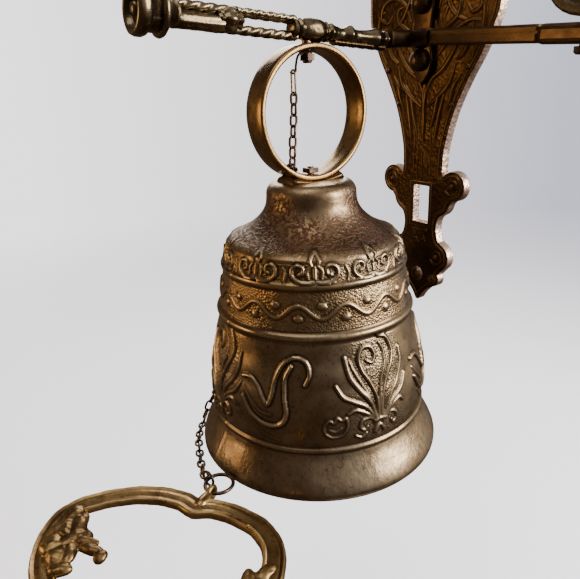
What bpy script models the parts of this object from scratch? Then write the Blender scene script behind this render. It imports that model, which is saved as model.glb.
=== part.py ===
"""Wall-hung sanctus bell: a bell with a loop, on a swing arm over a pierced wall plate, with a pull chain.

Frame: the origin is on the wall plate's back face at the height of the arm. +Y points into the
wall, the arm reaches out along -Y, +X is to the right and +Z is up. Sizes below are millimetres.
"""
import math

import bmesh
import bpy
from mathutils import Matrix, Vector

MM = 0.001
GAP = 0.35                      # clearance between neighbouring pieces

# Driving dimensions
PLATE_THICKNESS = 5.0
PLATE_MID_Z = 20.0              # the plate is the same above and below this height
PLATE_HALF_HEIGHT = 150.0
SLOT_HALF_WIDTH = 5.1
SLOT_NEAR = 88.0                # slot ends, measured from the plate's middle
SLOT_FAR = 107.0
SCREW_FROM_MID = 135.0

STRAP_THICKNESS = 3.0           # bracket strap that lies on the plate
STRAP_TOP = 23.0
STRAP_FOOT = -15.0
DOME_HEIGHTS = {"dome_bolt_upper": 15.0, "dome_bolt_lower": -9.2}
DOME_RADIUS = 5.0
DOME_SHANK = 2.2
SIDE_ARM_Y = -16.0

BELL_Y = -74.0                  # vertical axis of the bell
LIP_Z = -181.0
LIP_RADIUS = 57.5
CROWN_HEIGHT = 124.6            # crown top above the lip
RING_RADIUS = 27.1
RING_WALL = 2.3
RING_WIDTH = 12.0
RING_Z = LIP_Z + 152.3
RING_TOP = RING_Z + RING_RADIUS
BOLT_RADIUS = 2.0

ARM_SLOPE = 0.0885              # the arm rises away from the wall
ARM_ROOT_Y = -31.0
ARM_ROOT_Z = -0.6
ARM_TIP_Y = -145.6

SIDE_ARM_DROOP = 0.055          # the side arm falls away to the right
SIDE_BLOCK_X = 66.0
ROSETTE_X = 82.0
ROSETTE_Z = 16.4
ROSETTE_RADIUS = 15.6

LINK_LENGTH = 5.75
LINK_WIDTH = 3.6
LINK_WIRE = 0.4                 # wire radius
LINK_PITCH = 4.45               # a stretch of chain is one rigid piece: its links just touch
DRAPE_ANGLES = (                # height, and degrees round the bell, of the chain on its way down
    (-51.3, 206.0), (-52.4, 192.0), (-55.0, 168.0), (-80.0, 168.0), (-135.0, 192.0), (-165.0, 210.0),
    (-181.6, 222.0))

HANDLE_ANGLE = math.radians(-60)    # direction in plan from the shank to the far end of the pull
HANDLE_DIP = Vector((19.6, -148.8, -178.0))
DROP_V = 56.6                   # centre of the drop inside the pull's far side
HANDLE_BAR_HALF = 4.4
HANDLE_BAR_THICK = 4.6
HANDLE_EYE_V = -6.6             # eye of the shank, before the dip of the heart
EYE_RADIUS = 2.4
EYE_WIRE = 0.9
LARGE_RING = 6.3                # outer radii and wire radii of the two jump rings
LARGE_RING_WIRE = 0.8
SMALL_RING = 4.1
SMALL_RING_WIRE = 0.6

# Colour, metallic and roughness of each finish
FINISHES = {
    "aged_brass": ((0.20, 0.115, 0.036), 1.0, 0.42),
    "bell_brass": ((0.31, 0.20, 0.085), 1.0, 0.33),
    "polished_brass": ((0.36, 0.27, 0.14), 1.0, 0.28),
    "dark_steel": ((0.045, 0.035, 0.028), 1.0, 0.45),
    "pull_brass": ((0.24, 0.145, 0.05), 1.0, 0.40),
}


# ---------------------------------------------------------------- helpers

def clear_scene():
    for old in list(bpy.data.objects):
        bpy.data.objects.remove(old, do_unlink=True)


def new_collection(name):
    collection = bpy.data.collections.new(name)
    bpy.context.scene.collection.children.link(collection)
    return collection


def finish_material(name):
    material = bpy.data.materials.get(name)
    if material:
        return material
    colour, metallic, roughness = FINISHES[name]
    material = bpy.data.materials.new(name)
    material.use_nodes = True
    shader = material.node_tree.nodes["Principled BSDF"]
    shader.inputs["Base Color"].default_value = (*colour, 1.0)
    shader.inputs["Metallic"].default_value = metallic
    shader.inputs["Roughness"].default_value = roughness
    return material


def add_object(name, mesh, finish=None):
    """Link a mesh as a part with its own copy of a finish, or as a cutter when finish is None."""
    obj = bpy.data.objects.new(name, mesh)
    if finish is None:
        CUTTERS.objects.link(obj)
        obj.hide_render = True
        obj.display_type = "WIRE"
        return obj
    PARTS.objects.link(obj)
    material = finish_material(finish).copy()
    material.name = name
    mesh.materials.clear()
    mesh.materials.append(material)
    mesh.shade_smooth()
    mesh.set_sharp_from_angle(angle=math.radians(40))
    return obj


def mesh_from(name, bm, scale=MM):
    bmesh.ops.scale(bm, vec=(scale, scale, scale), verts=bm.verts)
    mesh = bpy.data.meshes.new(name)
    bm.to_mesh(mesh)
    bm.free()
    return mesh


def spline(points, per_span):
    """Points of a Catmull-Rom curve through the given 2D or 3D points."""
    pts = [Vector(p) for p in points]
    ends = [pts[0] * 2 - pts[1]] + pts + [pts[-1] * 2 - pts[-2]]
    curve = []
    for a, b, c, d in zip(ends, ends[1:], ends[2:], ends[3:]):
        for k in range(per_span):
            t = k / per_span
            curve.append(0.5 * (2 * b + (c - a) * t + (2 * a - 5 * b + 4 * c - d) * t ** 2
                                + (3 * b - a - 3 * c + d) * t ** 3))
    curve.append(pts[-1])
    return curve


def arc(centre, radius, start, end, steps):
    """Points of an arc in a plane, angles in degrees."""
    angles = [math.radians(start + (end - start) * k / steps) for k in range(steps + 1)]
    return [(centre[0] + radius * math.cos(a), centre[1] + radius * math.sin(a)) for a in angles]


def turned(name, outline, finish, steps=32, place=None):
    """Turn an outline of (radius, height), listed from top to bottom, about the vertical axis."""
    bm = bmesh.new()
    verts = [bm.verts.new((r, 0.0, z)) for r, z in outline]
    for a, b in zip(verts, verts[1:]):
        bm.edges.new((a, b))
    obj = add_object(name, mesh_from(name, bm), finish)
    screw = obj.modifiers.new("turn", "SCREW")
    screw.steps = steps
    screw.render_steps = steps
    screw.use_merge_vertices = True
    screw.merge_threshold = 0.00001
    screw.use_smooth_shade = True
    obj.matrix_world = place_matrix(place)
    return obj


def place_matrix(place):
    """A placing matrix in metres from a millimetre one."""
    if place is None:
        return Matrix.Identity(4)
    matrix = place.copy()
    matrix.translation = matrix.translation * MM
    return matrix


def at(x, y, z):
    return Matrix.Translation((x, y, z))


def along(origin, direction, side=(1, 0, 0)):
    """Placing matrix whose +Z runs along a direction."""
    z_axis = Vector(direction).normalized()
    y_axis = z_axis.cross(Vector(side)).normalized()
    x_axis = y_axis.cross(z_axis)
    matrix = Matrix((x_axis, y_axis, z_axis)).transposed().to_4x4()
    matrix.translation = Vector(origin)
    return matrix


def cylinder(name, radius, length, place, finish=None, sides=24):
    bm = bmesh.new()
    bmesh.ops.create_cone(bm, cap_ends=True, segments=sides, radius1=radius, radius2=radius, depth=length)
    obj = add_object(name, mesh_from(name, bm), finish)
    obj.matrix_world = place_matrix(place)
    return obj


def box(name, size, place, finish=None, bevel=0.0, segments=2):
    bm = bmesh.new()
    bmesh.ops.create_cube(bm, size=1.0)
    bmesh.ops.scale(bm, vec=size, verts=bm.verts)
    if bevel:
        bmesh.ops.bevel(bm, geom=bm.edges[:], offset=bevel, segments=segments, profile=0.5, affect="EDGES")
    obj = add_object(name, mesh_from(name, bm), finish)
    obj.matrix_world = place_matrix(place)
    return obj


def ball(name, radii, place, finish=None, sides=20):
    bm = bmesh.new()
    bmesh.ops.create_uvsphere(bm, u_segments=sides, v_segments=sides // 2, radius=1.0)
    bmesh.ops.scale(bm, vec=radii, verts=bm.verts)
    obj = add_object(name, mesh_from(name, bm), finish)
    obj.matrix_world = place_matrix(place)
    return obj


def combine(target, other, operation):
    modifier = target.modifiers.new(operation.lower() + "_" + other.name, "BOOLEAN")
    modifier.operation = operation
    modifier.solver = "EXACT"
    modifier.object = other
    return target


def cut(target, other):
    return combine(target, other, "DIFFERENCE")


def join(target, other):
    return combine(target, other, "UNION")


def curve_mesh(name, points, radius, closed, resolution=2):
    """A wire swept along points, as a welded mesh in millimetres."""
    data = bpy.data.curves.new(name, "CURVE")
    data.dimensions = "3D"
    data.bevel_depth = radius
    data.bevel_resolution = resolution
    data.use_fill_caps = not closed
    line = data.splines.new("POLY")
    line.points.add(len(points) - 1)
    for point, place in zip(line.points, points):
        point.co = (*place, 1.0)
    line.use_cyclic_u = closed
    holder = bpy.data.objects.new(name, data)
    CUTTERS.objects.link(holder)
    bpy.context.view_layer.update()
    mesh = bpy.data.meshes.new_from_object(holder.evaluated_get(bpy.context.evaluated_depsgraph_get()))
    bpy.data.objects.remove(holder, do_unlink=True)
    bm = bmesh.new()
    bm.from_mesh(mesh)
    bmesh.ops.remove_doubles(bm, verts=bm.verts, dist=0.0001)
    bmesh.ops.recalc_face_normals(bm, faces=bm.faces)
    bpy.data.meshes.remove(mesh)
    return bm


def wire(name, points, radius, finish=None, closed=False, resolution=2):
    bm = curve_mesh(name, points, radius, closed, resolution)
    return add_object(name, mesh_from(name, bm), finish)


def fused(name, pieces, finish):
    """Union of several touching bmeshes as one node."""
    first = add_object(name, mesh_from(name, pieces[0]), finish)
    if len(pieces) == 1:
        return first
    others = bpy.data.collections.new(name + "_pieces")
    CUTTERS.children.link(others)
    for k, piece in enumerate(pieces[1:]):
        other = bpy.data.objects.new(f"{name}_piece_{k}", mesh_from(name, piece))
        other.hide_render = True
        other.display_type = "WIRE"
        others.objects.link(other)
    modifier = first.modifiers.new("union", "BOOLEAN")
    modifier.operation = "UNION"
    modifier.solver = "EXACT"
    modifier.operand_type = "COLLECTION"
    modifier.collection = others
    return first


# ---------------------------------------------------------------- wall plate and hinge

def plate_quarter():
    """Outline of the plate's lower right quarter, x and distance below the middle."""
    side = spline([(39.0, 0), (38.3, 12), (31.6, 27), (24.8, 38.5), (18.0, 52.5), (13.6, 68), (12.8, 78)], 2)
    outline = [tuple(p) for p in side]
    outline += arc((19.6, 86.5), 7.2, 205, 485, 11)
    outline += [(12.6, 97.0), (11.4, 103.0), (11.0, 109.5), (11.0, 114.5)]
    outline += arc((12.1, 123.5), 7.4, -70, 52, 6)
    outline += arc((9.8, 135.6), 4.3, -35, 75, 4)
    outline += [(7.0, 142.0), (3.6, 145.5), (1.2, 149.2)]
    return outline


def build_wall_plate():
    quarter = plate_quarter()
    right = [(x, PLATE_MID_Z - d) for x, d in quarter]
    left = [(-x, z) for x, z in reversed(right)]
    lower = right + [(0.0, PLATE_MID_Z - PLATE_HALF_HEIGHT)] + left
    upper = [(x, 2 * PLATE_MID_Z - z) for x, z in reversed(lower)]
    outline = lower[:-1] + upper[:-1]
    data = bpy.data.curves.new("plate_outline", "CURVE")
    data.dimensions = "2D"
    data.fill_mode = "BOTH"
    data.extrude = PLATE_THICKNESS / 2
    line = data.splines.new("POLY")
    line.points.add(len(outline) - 1)
    for point, (x, z) in zip(line.points, outline):
        point.co = (x, z, 0.0, 1.0)
    line.use_cyclic_u = True
    holder = bpy.data.objects.new("plate_outline", data)
    CUTTERS.objects.link(holder)
    bpy.context.view_layer.update()
    mesh = bpy.data.meshes.new_from_object(holder.evaluated_get(bpy.context.evaluated_depsgraph_get()))
    bpy.data.objects.remove(holder, do_unlink=True)
    bm = bmesh.new()
    bm.from_mesh(mesh)
    bmesh.ops.remove_doubles(bm, verts=bm.verts, dist=0.0001)
    bmesh.ops.rotate(bm, matrix=Matrix.Rotation(math.radians(90), 3, "X"), verts=bm.verts)
    bmesh.ops.translate(bm, vec=(0, -PLATE_THICKNESS / 2, 0), verts=bm.verts)
    bmesh.ops.recalc_face_normals(bm, faces=bm.faces)
    plate = add_object("wall_plate", mesh_from("wall_plate", bm), "aged_brass")
    for side in (-1, 1):
        middle = PLATE_MID_Z + side * (SLOT_NEAR + SLOT_FAR) / 2
        slot = box("slot_cutter", (2 * SLOT_HALF_WIDTH, 20, SLOT_FAR - SLOT_NEAR), at(0, 0, middle))
        cut(plate, slot)
        hole = cylinder("screw_hole_cutter", 2.6, 20,
                        along((0, 0, PLATE_MID_Z + side * SCREW_FROM_MID), (0, 1, 0)), sides=16)
        cut(plate, hole)
    for height in DOME_HEIGHTS.values():
        hole = along((0, 0, height), (0, 1, 0))
        cut(plate, cylinder("dome_hole_cutter", DOME_SHANK + GAP, 20, hole, sides=16))
    return plate


def build_plate_screws():
    """Two slotted round-head screws that hold the plate to the wall."""
    outline = [(0, 2.6)] + arc((0, -1.6), 4.3, 78, 22, 4) + [(4.0, 0.0), (2.2, 0.0), (2.2, -4.6), (0, -4.6)]
    for name, side in (("plate_screw_upper", 1), ("plate_screw_lower", -1)):
        place = along((0, -PLATE_THICKNESS - GAP, PLATE_MID_Z + side * SCREW_FROM_MID), (0, -1, 0))
        screw = turned(name, outline, "aged_brass", 16, place)
        cut(screw, box("screw_slot", (1.0, 2.0, 12.0), at(0, -PLATE_THICKNESS - 3.2, place.translation.z)))


def build_dome_bolts():
    """Domed bolts, above and below the arm, that hold the bracket's strap to the plate."""
    seat = -PLATE_THICKNESS - STRAP_THICKNESS - 2 * GAP
    for name, height in DOME_HEIGHTS.items():
        reach = seat + 0.4
        outline = [(0, 5.4)] + arc((0, 0.4), DOME_RADIUS, 72, 0, 5) + [(DOME_RADIUS, 0), (DOME_SHANK, 0),
                                                                      (DOME_SHANK, reach), (0, reach)]
        turned(name, outline, "polished_brass", 18, along((0, seat, height), (0, -1, 0)))


# ---------------------------------------------------------------- bracket and arms

def arm_z(y):
    return ARM_ROOT_Z + ARM_SLOPE * (ARM_ROOT_Y - y)


def on_arm(y, offset=0.0):
    """Place on the arm's axis at a distance from the wall, +Z pointing outwards along the arm."""
    direction = Vector((0, -1, ARM_SLOPE))
    return along((0, y, arm_z(y) + offset), direction)


def build_arm_bracket():
    """Strap on the plate with a neck that carries the main arm and turns off to the side arm."""
    front = -PLATE_THICKNESS - GAP
    middle = (STRAP_TOP + STRAP_FOOT) / 2
    bracket = box("arm_bracket", (12.4, STRAP_THICKNESS, STRAP_TOP - STRAP_FOOT),
                  at(0, front - STRAP_THICKNESS / 2, middle), "aged_brass", bevel=0.7)
    join(bracket, box("bracket_neck", (7.2, 23.0, 7.4), at(0, front - 12.5, 0), bevel=1.0))
    join(bracket, box("bracket_branch", (15.0, 7.0, 7.2), at(5.5, SIDE_ARM_Y, 0), bevel=1.0))
    for height in DOME_HEIGHTS.values():
        hole = along((0, front, height), (0, 1, 0))
        cut(bracket, cylinder("bracket_hole", DOME_SHANK + GAP, 9.0, hole, sides=16))
    return bracket


def build_arm_root():
    """Turned baluster from the pivot block to the bell boss, over a flat strap."""
    near, far = -31.2, -64.0
    length = near - far
    outline = [(0, length), (2.8, length), (3.6, length - 1.4), (2.7, length - 3.0), (2.4, length - 8.0),
               (3.2, length - 10.0), (3.7, length - 11.4), (3.2, length - 12.8), (2.6, length - 14.5),
               (2.9, length - 22.0), (3.6, length - 25.0), (4.0, length - 26.6), (3.5, length - 28.2),
               (3.3, length - 31.0), (3.6, 1.6), (3.4, 0.0), (0, 0)]
    root = turned("arm_root", outline, "polished_brass", 18, on_arm(near))
    strap = box("root_strap", (3.6, 26.0, 1.7), along((0, -47.0, arm_z(-47.0) - 3.4), (0, ARM_SLOPE, 1)))
    join(root, strap)
    return root


def build_bell_boss():
    """Swelling of the arm that the bell's bolt passes through."""
    near, far = -64.0 - GAP, -79.0
    length = near - far
    outline = [(0, length), (3.4, length), (3.9, length - 1.2), (3.5, length - 2.2), (3.9, length - 4.0),
               (4.25, length - 7.0), (4.1, length - 10.0), (3.4, length - 12.4), (3.7, 1.2), (3.3, 0), (0, 0)]
    boss = turned("bell_boss", outline, "polished_brass", 20, on_arm(near))
    bore_top = arm_z(BELL_Y) + 0.8 + GAP
    cut(boss, cylinder("boss_bore", BOLT_RADIUS + GAP, 20, at(0, BELL_Y, bore_top - 10.0), sides=20))
    return boss


def build_arm_rails():
    """Open work beyond the boss: two roped rails, a knot between them and a fuller front stretch."""
    near, far = -79.0 - GAP, -131.0
    middle = (near + far) / 2
    length = (near - far) * math.hypot(1.0, ARM_SLOPE)
    lower = cylinder("arm_rails", 1.45, length, on_arm(middle, -2.95), "polished_brass", sides=14)
    join(lower, cylinder("upper_rail", 1.4, length, on_arm(middle, 3.0), sides=14))
    join(lower, cylinder("rail_heel", 3.7, 2.4, on_arm(near - 1.3), sides=20))
    knot = along((0, -109.0, arm_z(-109.0)), (0, ARM_SLOPE, 1))
    join(lower, box("rail_knot", (5.0, 6.4, 9.0), knot, bevel=1.6))
    join(lower, cylinder("front_tube", 2.7, 19.0, on_arm(-121.4, -1.7), sides=18))
    join(lower, cylinder("rail_toe", 4.6, 1.8, on_arm(far + 0.95), sides=20))
    return lower


def build_arm_end():
    """Trumpet flange and end disc, parted by a slot that is open at the top."""
    near = -131.0 - GAP
    length = near - ARM_TIP_Y
    face = length
    outline = [(0, face - 0.6), (1.6, face - 0.7), (2.3, face - 2.3), (5.6, face - 2.3), (6.6, face - 0.3),
               (7.9, face), (8.7, face - 1.2), (8.8, face - 4.0), (8.2, face - 6.6), (8.3, face - 9.2),
               (8.6, 4.6), (7.6, 3.2), (6.0, 1.8), (5.0, 0.6), (4.7, 0), (0, 0)]
    end = turned("arm_end", outline, "polished_brass", 26, on_arm(near))
    gap_y = -137.4
    slot = box("end_slot", (30, 2.4, 20), along((0, gap_y, arm_z(gap_y) + 4.6), (0, ARM_SLOPE, 1)))
    cut(end, slot)
    return end


def side_z(x):
    return -SIDE_ARM_DROOP * (x - 7.0)


def build_side_arm():
    """Bar to the right with a groove along its front."""
    start, end = 13.0 + GAP, SIDE_BLOCK_X - GAP
    slope = (1, 0, -SIDE_ARM_DROOP)
    middle = (start + end) / 2
    place = along((middle, SIDE_ARM_Y, side_z(middle)), slope, side=(0, 1, 0))
    bar = box("side_arm", (5.4, 6.6, end - start), place, "aged_brass", bevel=1.0)
    groove = along((middle, SIDE_ARM_Y - 2.9, side_z(middle) + 0.5), slope, side=(0, 1, 0))
    cut(bar, box("groove_cutter", (1.0, 0.9, 80), groove))
    return bar


def build_side_block():
    """End block that carries the rosette on one screw."""
    middle = SIDE_BLOCK_X + 15.0
    place = along((middle, SIDE_ARM_Y, side_z(middle) - 0.2), (SIDE_ARM_DROOP, 0, 1))
    block = box("side_block", (30.0, 9.0, 7.0), place, "aged_brass", bevel=2.0, segments=3)
    cut(block, cylinder("block_bore", 1.6 + GAP, 40, at(ROSETTE_X, SIDE_ARM_Y, 0), sides=16))
    return block


def build_side_rosette():
    """Round rosette facing the room, with a raised rim and a domed centre."""
    outline = [(0, 5.4), (2.6, 4.9), (4.4, 3.2), (5.2, 2.0), (9.5, 1.6), (11.6, 2.2), (12.4, 3.6),
               (14.4, 4.0), (15.4, 3.0), (ROSETTE_RADIUS, 0.6), (15.2, -2.4), (12.0, -3.2), (0, -3.2)]
    rosette = turned("side_rosette", outline, "polished_brass", 30,
                     along((ROSETTE_X, SIDE_ARM_Y, ROSETTE_Z), (0, -1, 0)))
    cut(rosette, cylinder("rosette_bore", 1.2 + GAP, 12, at(ROSETTE_X, SIDE_ARM_Y, 0), sides=16))
    return rosette


def build_rosette_screw():
    block_under = side_z(ROSETTE_X) - 3.7
    under = block_under - GAP - 1.2
    outline = [(0, 5.0), (1.2, 5.0), (1.2, side_z(ROSETTE_X) + 3.2), (1.5, side_z(ROSETTE_X) + 3.1),
               (1.5, block_under - GAP - 0.1), (3.1, block_under - GAP - 0.2), (3.1, under - 0.9),
               (2.2, under - 1.7), (0, under - 1.9)]
    return turned("rosette_screw", outline, "dark_steel", 16, at(ROSETTE_X, SIDE_ARM_Y, 0))


# ---------------------------------------------------------------- bell

def bell_outline():
    """Outer then inner profile of the bell, radius and height above the lip."""
    crown = [(0, CROWN_HEIGHT + 2.0), (12.5, CROWN_HEIGHT + 1.6), (17.0, CROWN_HEIGHT + 0.2),
             (19.2, CROWN_HEIGHT - 1.4), (19.8, CROWN_HEIGHT - 4.0)]
    shoulder = [(20.6, 114.6), (23.6, 110.2), (28.6, 105.8), (33.6, 102.9), (37.6, 100.6), (39.2, 98.8)]
    frieze = [(39.5, 96.6), (40.6, 92.0), (42.2, 89.9), (41.6, 88.4)]
    band = [(43.6, 72.2), (45.4, 69.4), (44.8, 67.6)]
    waist = [(47.6, 54.8), (49.6, 46.5), (50.9, 38.0), (51.1, 30.0), (50.2, 23.2), (51.2, 20.6), (50.6, 18.8)]
    flare = [(53.8, 11.6), (56.4, 6.6), (LIP_RADIUS, 2.0), (LIP_RADIUS - 0.6, 0.0)]
    inner = [(54.6, 0.0), (51.2, 8.8), (47.4, 20.0), (46.4, 42.0), (41.2, 70.0), (36.6, 96.0), (27.0, 102.6),
             (17.4, 111.0), (14.6, 119.6), (0, 120.4)]
    return crown + shoulder + frieze + band + waist + flare + inner


def build_bell_shell():
    bell = turned("bell_shell", bell_outline(), "bell_brass", 40, at(0, BELL_Y, LIP_Z))
    across = along((0, BELL_Y, RING_Z), (1, 0, 0), side=(0, 0, 1))
    cut(bell, cylinder("saddle_cutter", RING_RADIUS + GAP, 14, across, sides=64))
    cut(bell, cylinder("crown_bore", 1.3 + GAP, 60, at(0, BELL_Y, LIP_Z + CROWN_HEIGHT), sides=16))
    return bell


def build_suspension_ring():
    outer, inner, half = RING_RADIUS, RING_RADIUS - RING_WALL, RING_WIDTH / 2
    outline = [(inner, half - 0.5), (inner + 0.4, half), (outer - 0.5, half), (outer, half - 0.6),
               (outer, -half + 0.6), (outer - 0.5, -half), (inner + 0.4, -half), (inner, -half + 0.5)]
    ring = turned("suspension_ring", outline + [outline[0]], "bell_brass", 48,
                  along((0, BELL_Y, RING_Z), (1, 0, 0), side=(0, 0, 1)))
    cut(ring, cylinder("ring_top_bore", BOLT_RADIUS + GAP, 12, at(0, BELL_Y, RING_TOP), sides=20))
    cut(ring, cylinder("ring_floor_bore", 1.3 + GAP, 12, at(0, BELL_Y, RING_Z - RING_RADIUS), sides=16))
    return ring


def build_bell_bolt():
    """Stud set in the underside of the arm's boss, down through the bell's loop."""
    top = arm_z(BELL_Y) + 0.8
    foot = RING_TOP - RING_WALL - 5.2
    outline = [(0, top), (BOLT_RADIUS - 0.5, top), (BOLT_RADIUS, top - 0.5), (BOLT_RADIUS, foot + 0.5),
               (BOLT_RADIUS - 0.5, foot), (0, foot)]
    return turned("bell_bolt", outline, "dark_steel", 20, at(0, BELL_Y, 0))


def build_bell_nut():
    top = RING_TOP - RING_WALL - 2 * GAP - 1.1
    nut = cylinder("bell_nut", 3.3, 2.4, at(0, BELL_Y, top - 1.2), "dark_steel", sides=6)
    cut(nut, cylinder("nut_bore", BOLT_RADIUS + 0.15, 20, at(0, BELL_Y, 0), sides=20))
    return nut


def build_chain_hook():
    """Wire with an eye around the bolt, over the loop's edge and down to an open hook."""
    eye_z = RING_TOP - RING_WALL - GAP - 0.55
    radius = 0.5
    run = spline([(-3.4, BELL_Y + 1.6, eye_z), (-5.6, BELL_Y + 1.6, eye_z), (-7.6, BELL_Y + 1.2, eye_z - 0.7),
                  (-8.3, BELL_Y + 0.6, eye_z - 2.6), (-8.3, BELL_Y, eye_z - 5.4)], 3)
    circle = arc((0, BELL_Y), 3.0, -200, 130, 14)
    points = [(x, y, eye_z) for x, y in circle] + [tuple(p) for p in run[1:]]
    bend = arc((BELL_Y - 1.5, eye_z - 6.4), 1.5, 10, -160, 6)
    points += [(-8.3, y, z) for y, z in bend]
    return wire("chain_hook", points, radius, "polished_brass", resolution=1)


# ---------------------------------------------------------------- clapper

CLAPPER_PIVOT_Z = -67.0


def ring_points(centre, radius, plane, steps=20):
    points = []
    for k in range(steps):
        a = math.tau * k / steps
        u, v = radius * math.cos(a), radius * math.sin(a)
        offset = {"xz": (u, 0, v), "yz": (0, u, v), "xy": (u, v, 0)}[plane]
        points.append(tuple(Vector(centre) + Vector(offset)))
    return points


def build_clapper_staple():
    """Eye bolt through the crown; its eye hangs the clapper."""
    staple = wire("clapper_staple", ring_points((0, BELL_Y, CLAPPER_PIVOT_Z + 3.0), 3.0, "xz"), 0.8,
                  "dark_steel", closed=True)
    join(staple, cylinder("staple_shank", 1.3, 12.0, at(0, BELL_Y, -56.2), sides=16))
    return staple


def build_staple_nut():
    floor = RING_Z - RING_RADIUS + RING_WALL
    nut = box("staple_nut", (5.2, 5.2, 2.2), at(0, BELL_Y, floor + GAP + 1.2), "dark_steel", bevel=0.4)
    cut(nut, cylinder("staple_nut_bore", 1.45, 20, at(0, BELL_Y, floor), sides=16))
    return nut


def build_clapper():
    rod = wire("clapper_rod", ring_points((0, BELL_Y, CLAPPER_PIVOT_Z - 1.0), 3.0, "yz"), 0.8,
               "dark_steel", closed=True)
    join(rod, cylinder("rod_shank", 1.6, 80.0, at(0, BELL_Y, CLAPPER_PIVOT_Z - 43.2), sides=16))
    top = -141.5
    outline = [(0, top), (2.6, top), (3.4, top - 3.0)]
    outline += arc((0, top - 11.0), 8.6, 62, -78, 9) + [(0, top - 19.8)]
    clapper = turned("clapper_ball", outline, "dark_steel", 18, at(0, BELL_Y, 0))
    cut(clapper, cylinder("ball_bore", 1.6 + GAP, 20.0, at(0, BELL_Y, top), sides=16))
    return rod


# ---------------------------------------------------------------- chain and pull

def oval(length, width, steps):
    """Outline of a stadium link, long way along its first axis."""
    straight = (length - width) / 2
    right = [(straight + width / 2 * math.cos(a), width / 2 * math.sin(a))
             for a in [math.radians(-90 + 180 * k / steps) for k in range(steps + 1)]]
    return right + [(-u, -v) for u, v in right]


def link_at(centre, direction, flat, length, width, radius, steps=3):
    """One closed link with its long way along a direction and its flat side across another."""
    forward = Vector(direction).normalized()
    normal = (Vector(flat) - forward * Vector(flat).dot(forward)).normalized()
    across = normal.cross(forward)
    outline = oval(length - 2 * radius, width - 2 * radius, steps)
    points = [tuple(Vector(centre) + forward * u + across * v) for u, v in outline]
    return curve_mesh("link", points, radius, True, 0)


def walk(path, start, pitch, count):
    """Centres and directions of links laid along a path at an even pitch."""
    lengths = [0.0]
    for a, b in zip(path, path[1:]):
        lengths.append(lengths[-1] + (b - a).length)

    def point_at(distance):
        for k in range(len(path) - 1):
            if distance <= lengths[k + 1] or k == len(path) - 2:
                t = (distance - lengths[k]) / (lengths[k + 1] - lengths[k])
                return path[k].lerp(path[k + 1], t)
        return path[-1]

    places = []
    for k in range(count):
        middle = start + k * pitch
        before = point_at(max(middle - pitch / 2, 0.0))
        after = point_at(middle + pitch / 2)
        places.append((point_at(middle), after - before))
    return places


def around_bell(radius, angle, z):
    return Vector((radius * math.cos(angle), BELL_Y + radius * math.sin(angle), z))


def drape_path():
    """Middle line of the chain where it lies over the crown and shoulder, down to the lip."""
    profile = [(8.0, -51.3), (13.0, -52.1), (19.0, -54.6), (22.6, -58.0), (26.2, -64.0), (34.0, -73.0),
               (41.4, -80.4), (43.9, -85.5), (45.0, -92.0), (48.0, -111.0), (51.0, -123.5), (53.3, -138.0),
               (53.9, -152.0), (53.9, -162.0), (56.4, -169.0), (59.4, -175.2), (61.6, -181.6)]
    angles = spline(DRAPE_ANGLES, 8)
    points = []
    for radius, z in profile:
        nearest = min(angles, key=lambda entry: abs(entry[0] - z))
        points.append(around_bell(radius, math.radians(nearest[1]), z))
    return spline(points, 4)


def tail_path():
    """Middle line of the chain from the lip round to the jump rings."""
    angles = [227, 234, 241, 248, 255, 261, 267, 273]
    radii = [60.8, 60.6, 60.6, 60.8, 61.4, 62.6, 64.2, 66.2]
    heights = [-182.4, -182.0, -181.4, -180.8, -180.4, -180.0, -179.6, -179.2]
    return spline([around_bell(r, math.radians(a), z) for a, r, z in zip(angles, radii, heights)], 4)


def chain(name, path, start, count, turned_first, flats):
    """Links of alternate turn along a path, as one node."""
    places = walk(path, start, LINK_PITCH, count)
    pieces = []
    for k, (centre, direction) in enumerate(places):
        flat_a, flat_b = flats
        flat = flat_a if (k + turned_first) % 2 else flat_b
        if callable(flat):
            flat = flat(centre)
        pieces.append(link_at(centre, direction, flat, LINK_LENGTH, LINK_WIDTH, LINK_WIRE))
    return fused(name, pieces, "dark_steel")


def outward(centre):
    """Direction away from the bell's axis."""
    return Vector((centre.x, centre.y - BELL_Y, 0.0)).normalized() + Vector((0, 0, 0.35))


def sideways(centre):
    away = Vector((centre.x, centre.y - BELL_Y, 0.0)).normalized()
    return Vector((-away.y, away.x, 0.0))


def build_hanging_chain():
    """Long link on the hook, then small links down behind the loop."""
    middle = Vector((-8.3, BELL_Y - 1.5, -16.3))
    long_link = link_at(middle, (0, 0, -1), (0, 1, 0), 11.0, 3.6, 0.45)
    add_object("long_link", mesh_from("long_link", long_link), "polished_brass")
    path = [Vector((-8.3, -75.5, -20.0)), Vector((-8.3, -76.0, -30.0)), Vector((-8.3, -77.0, -40.0)),
            Vector((-8.3, -78.0, -54.0))]
    return chain("hanging_chain", path, 2.7, 7, 1, ((1, 0, 0), (0, 1, 0)))


def pull_line():
    """Middle line of the pull's frame: a flat-topped heart, u across and v away from the shank."""
    right = [(5.0, 1.6), (14.0, 0.6), (27.0, 2.6), (36.0, 8.0), (41.0, 15.0), (44.0, 25.0), (42.0, 37.0),
             (34.0, 50.0), (20.0, 60.0)]
    left = [(-16.0, 62.6), (-30.0, 56.0), (-41.0, 46.0), (-47.6, 33.0), (-47.0, 24.0), (-41.0, 16.0),
            (-31.0, 8.4), (-20.0, 3.8), (-9.0, 2.4)]
    outline = [(0.0, 4.2)] + right + [(2.0, 65.0)] + left
    closed = spline(outline + outline[:1], 2)
    return [(p.x, p.y) for p in closed[:-1]]


def handle_place(u, v, w=0.0):
    away = Vector((math.cos(HANDLE_ANGLE), math.sin(HANDLE_ANGLE), 0))
    across = Vector((-away.y, away.x, 0))
    return HANDLE_DIP + away * v + across * u + Vector((0, 0, w))


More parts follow.
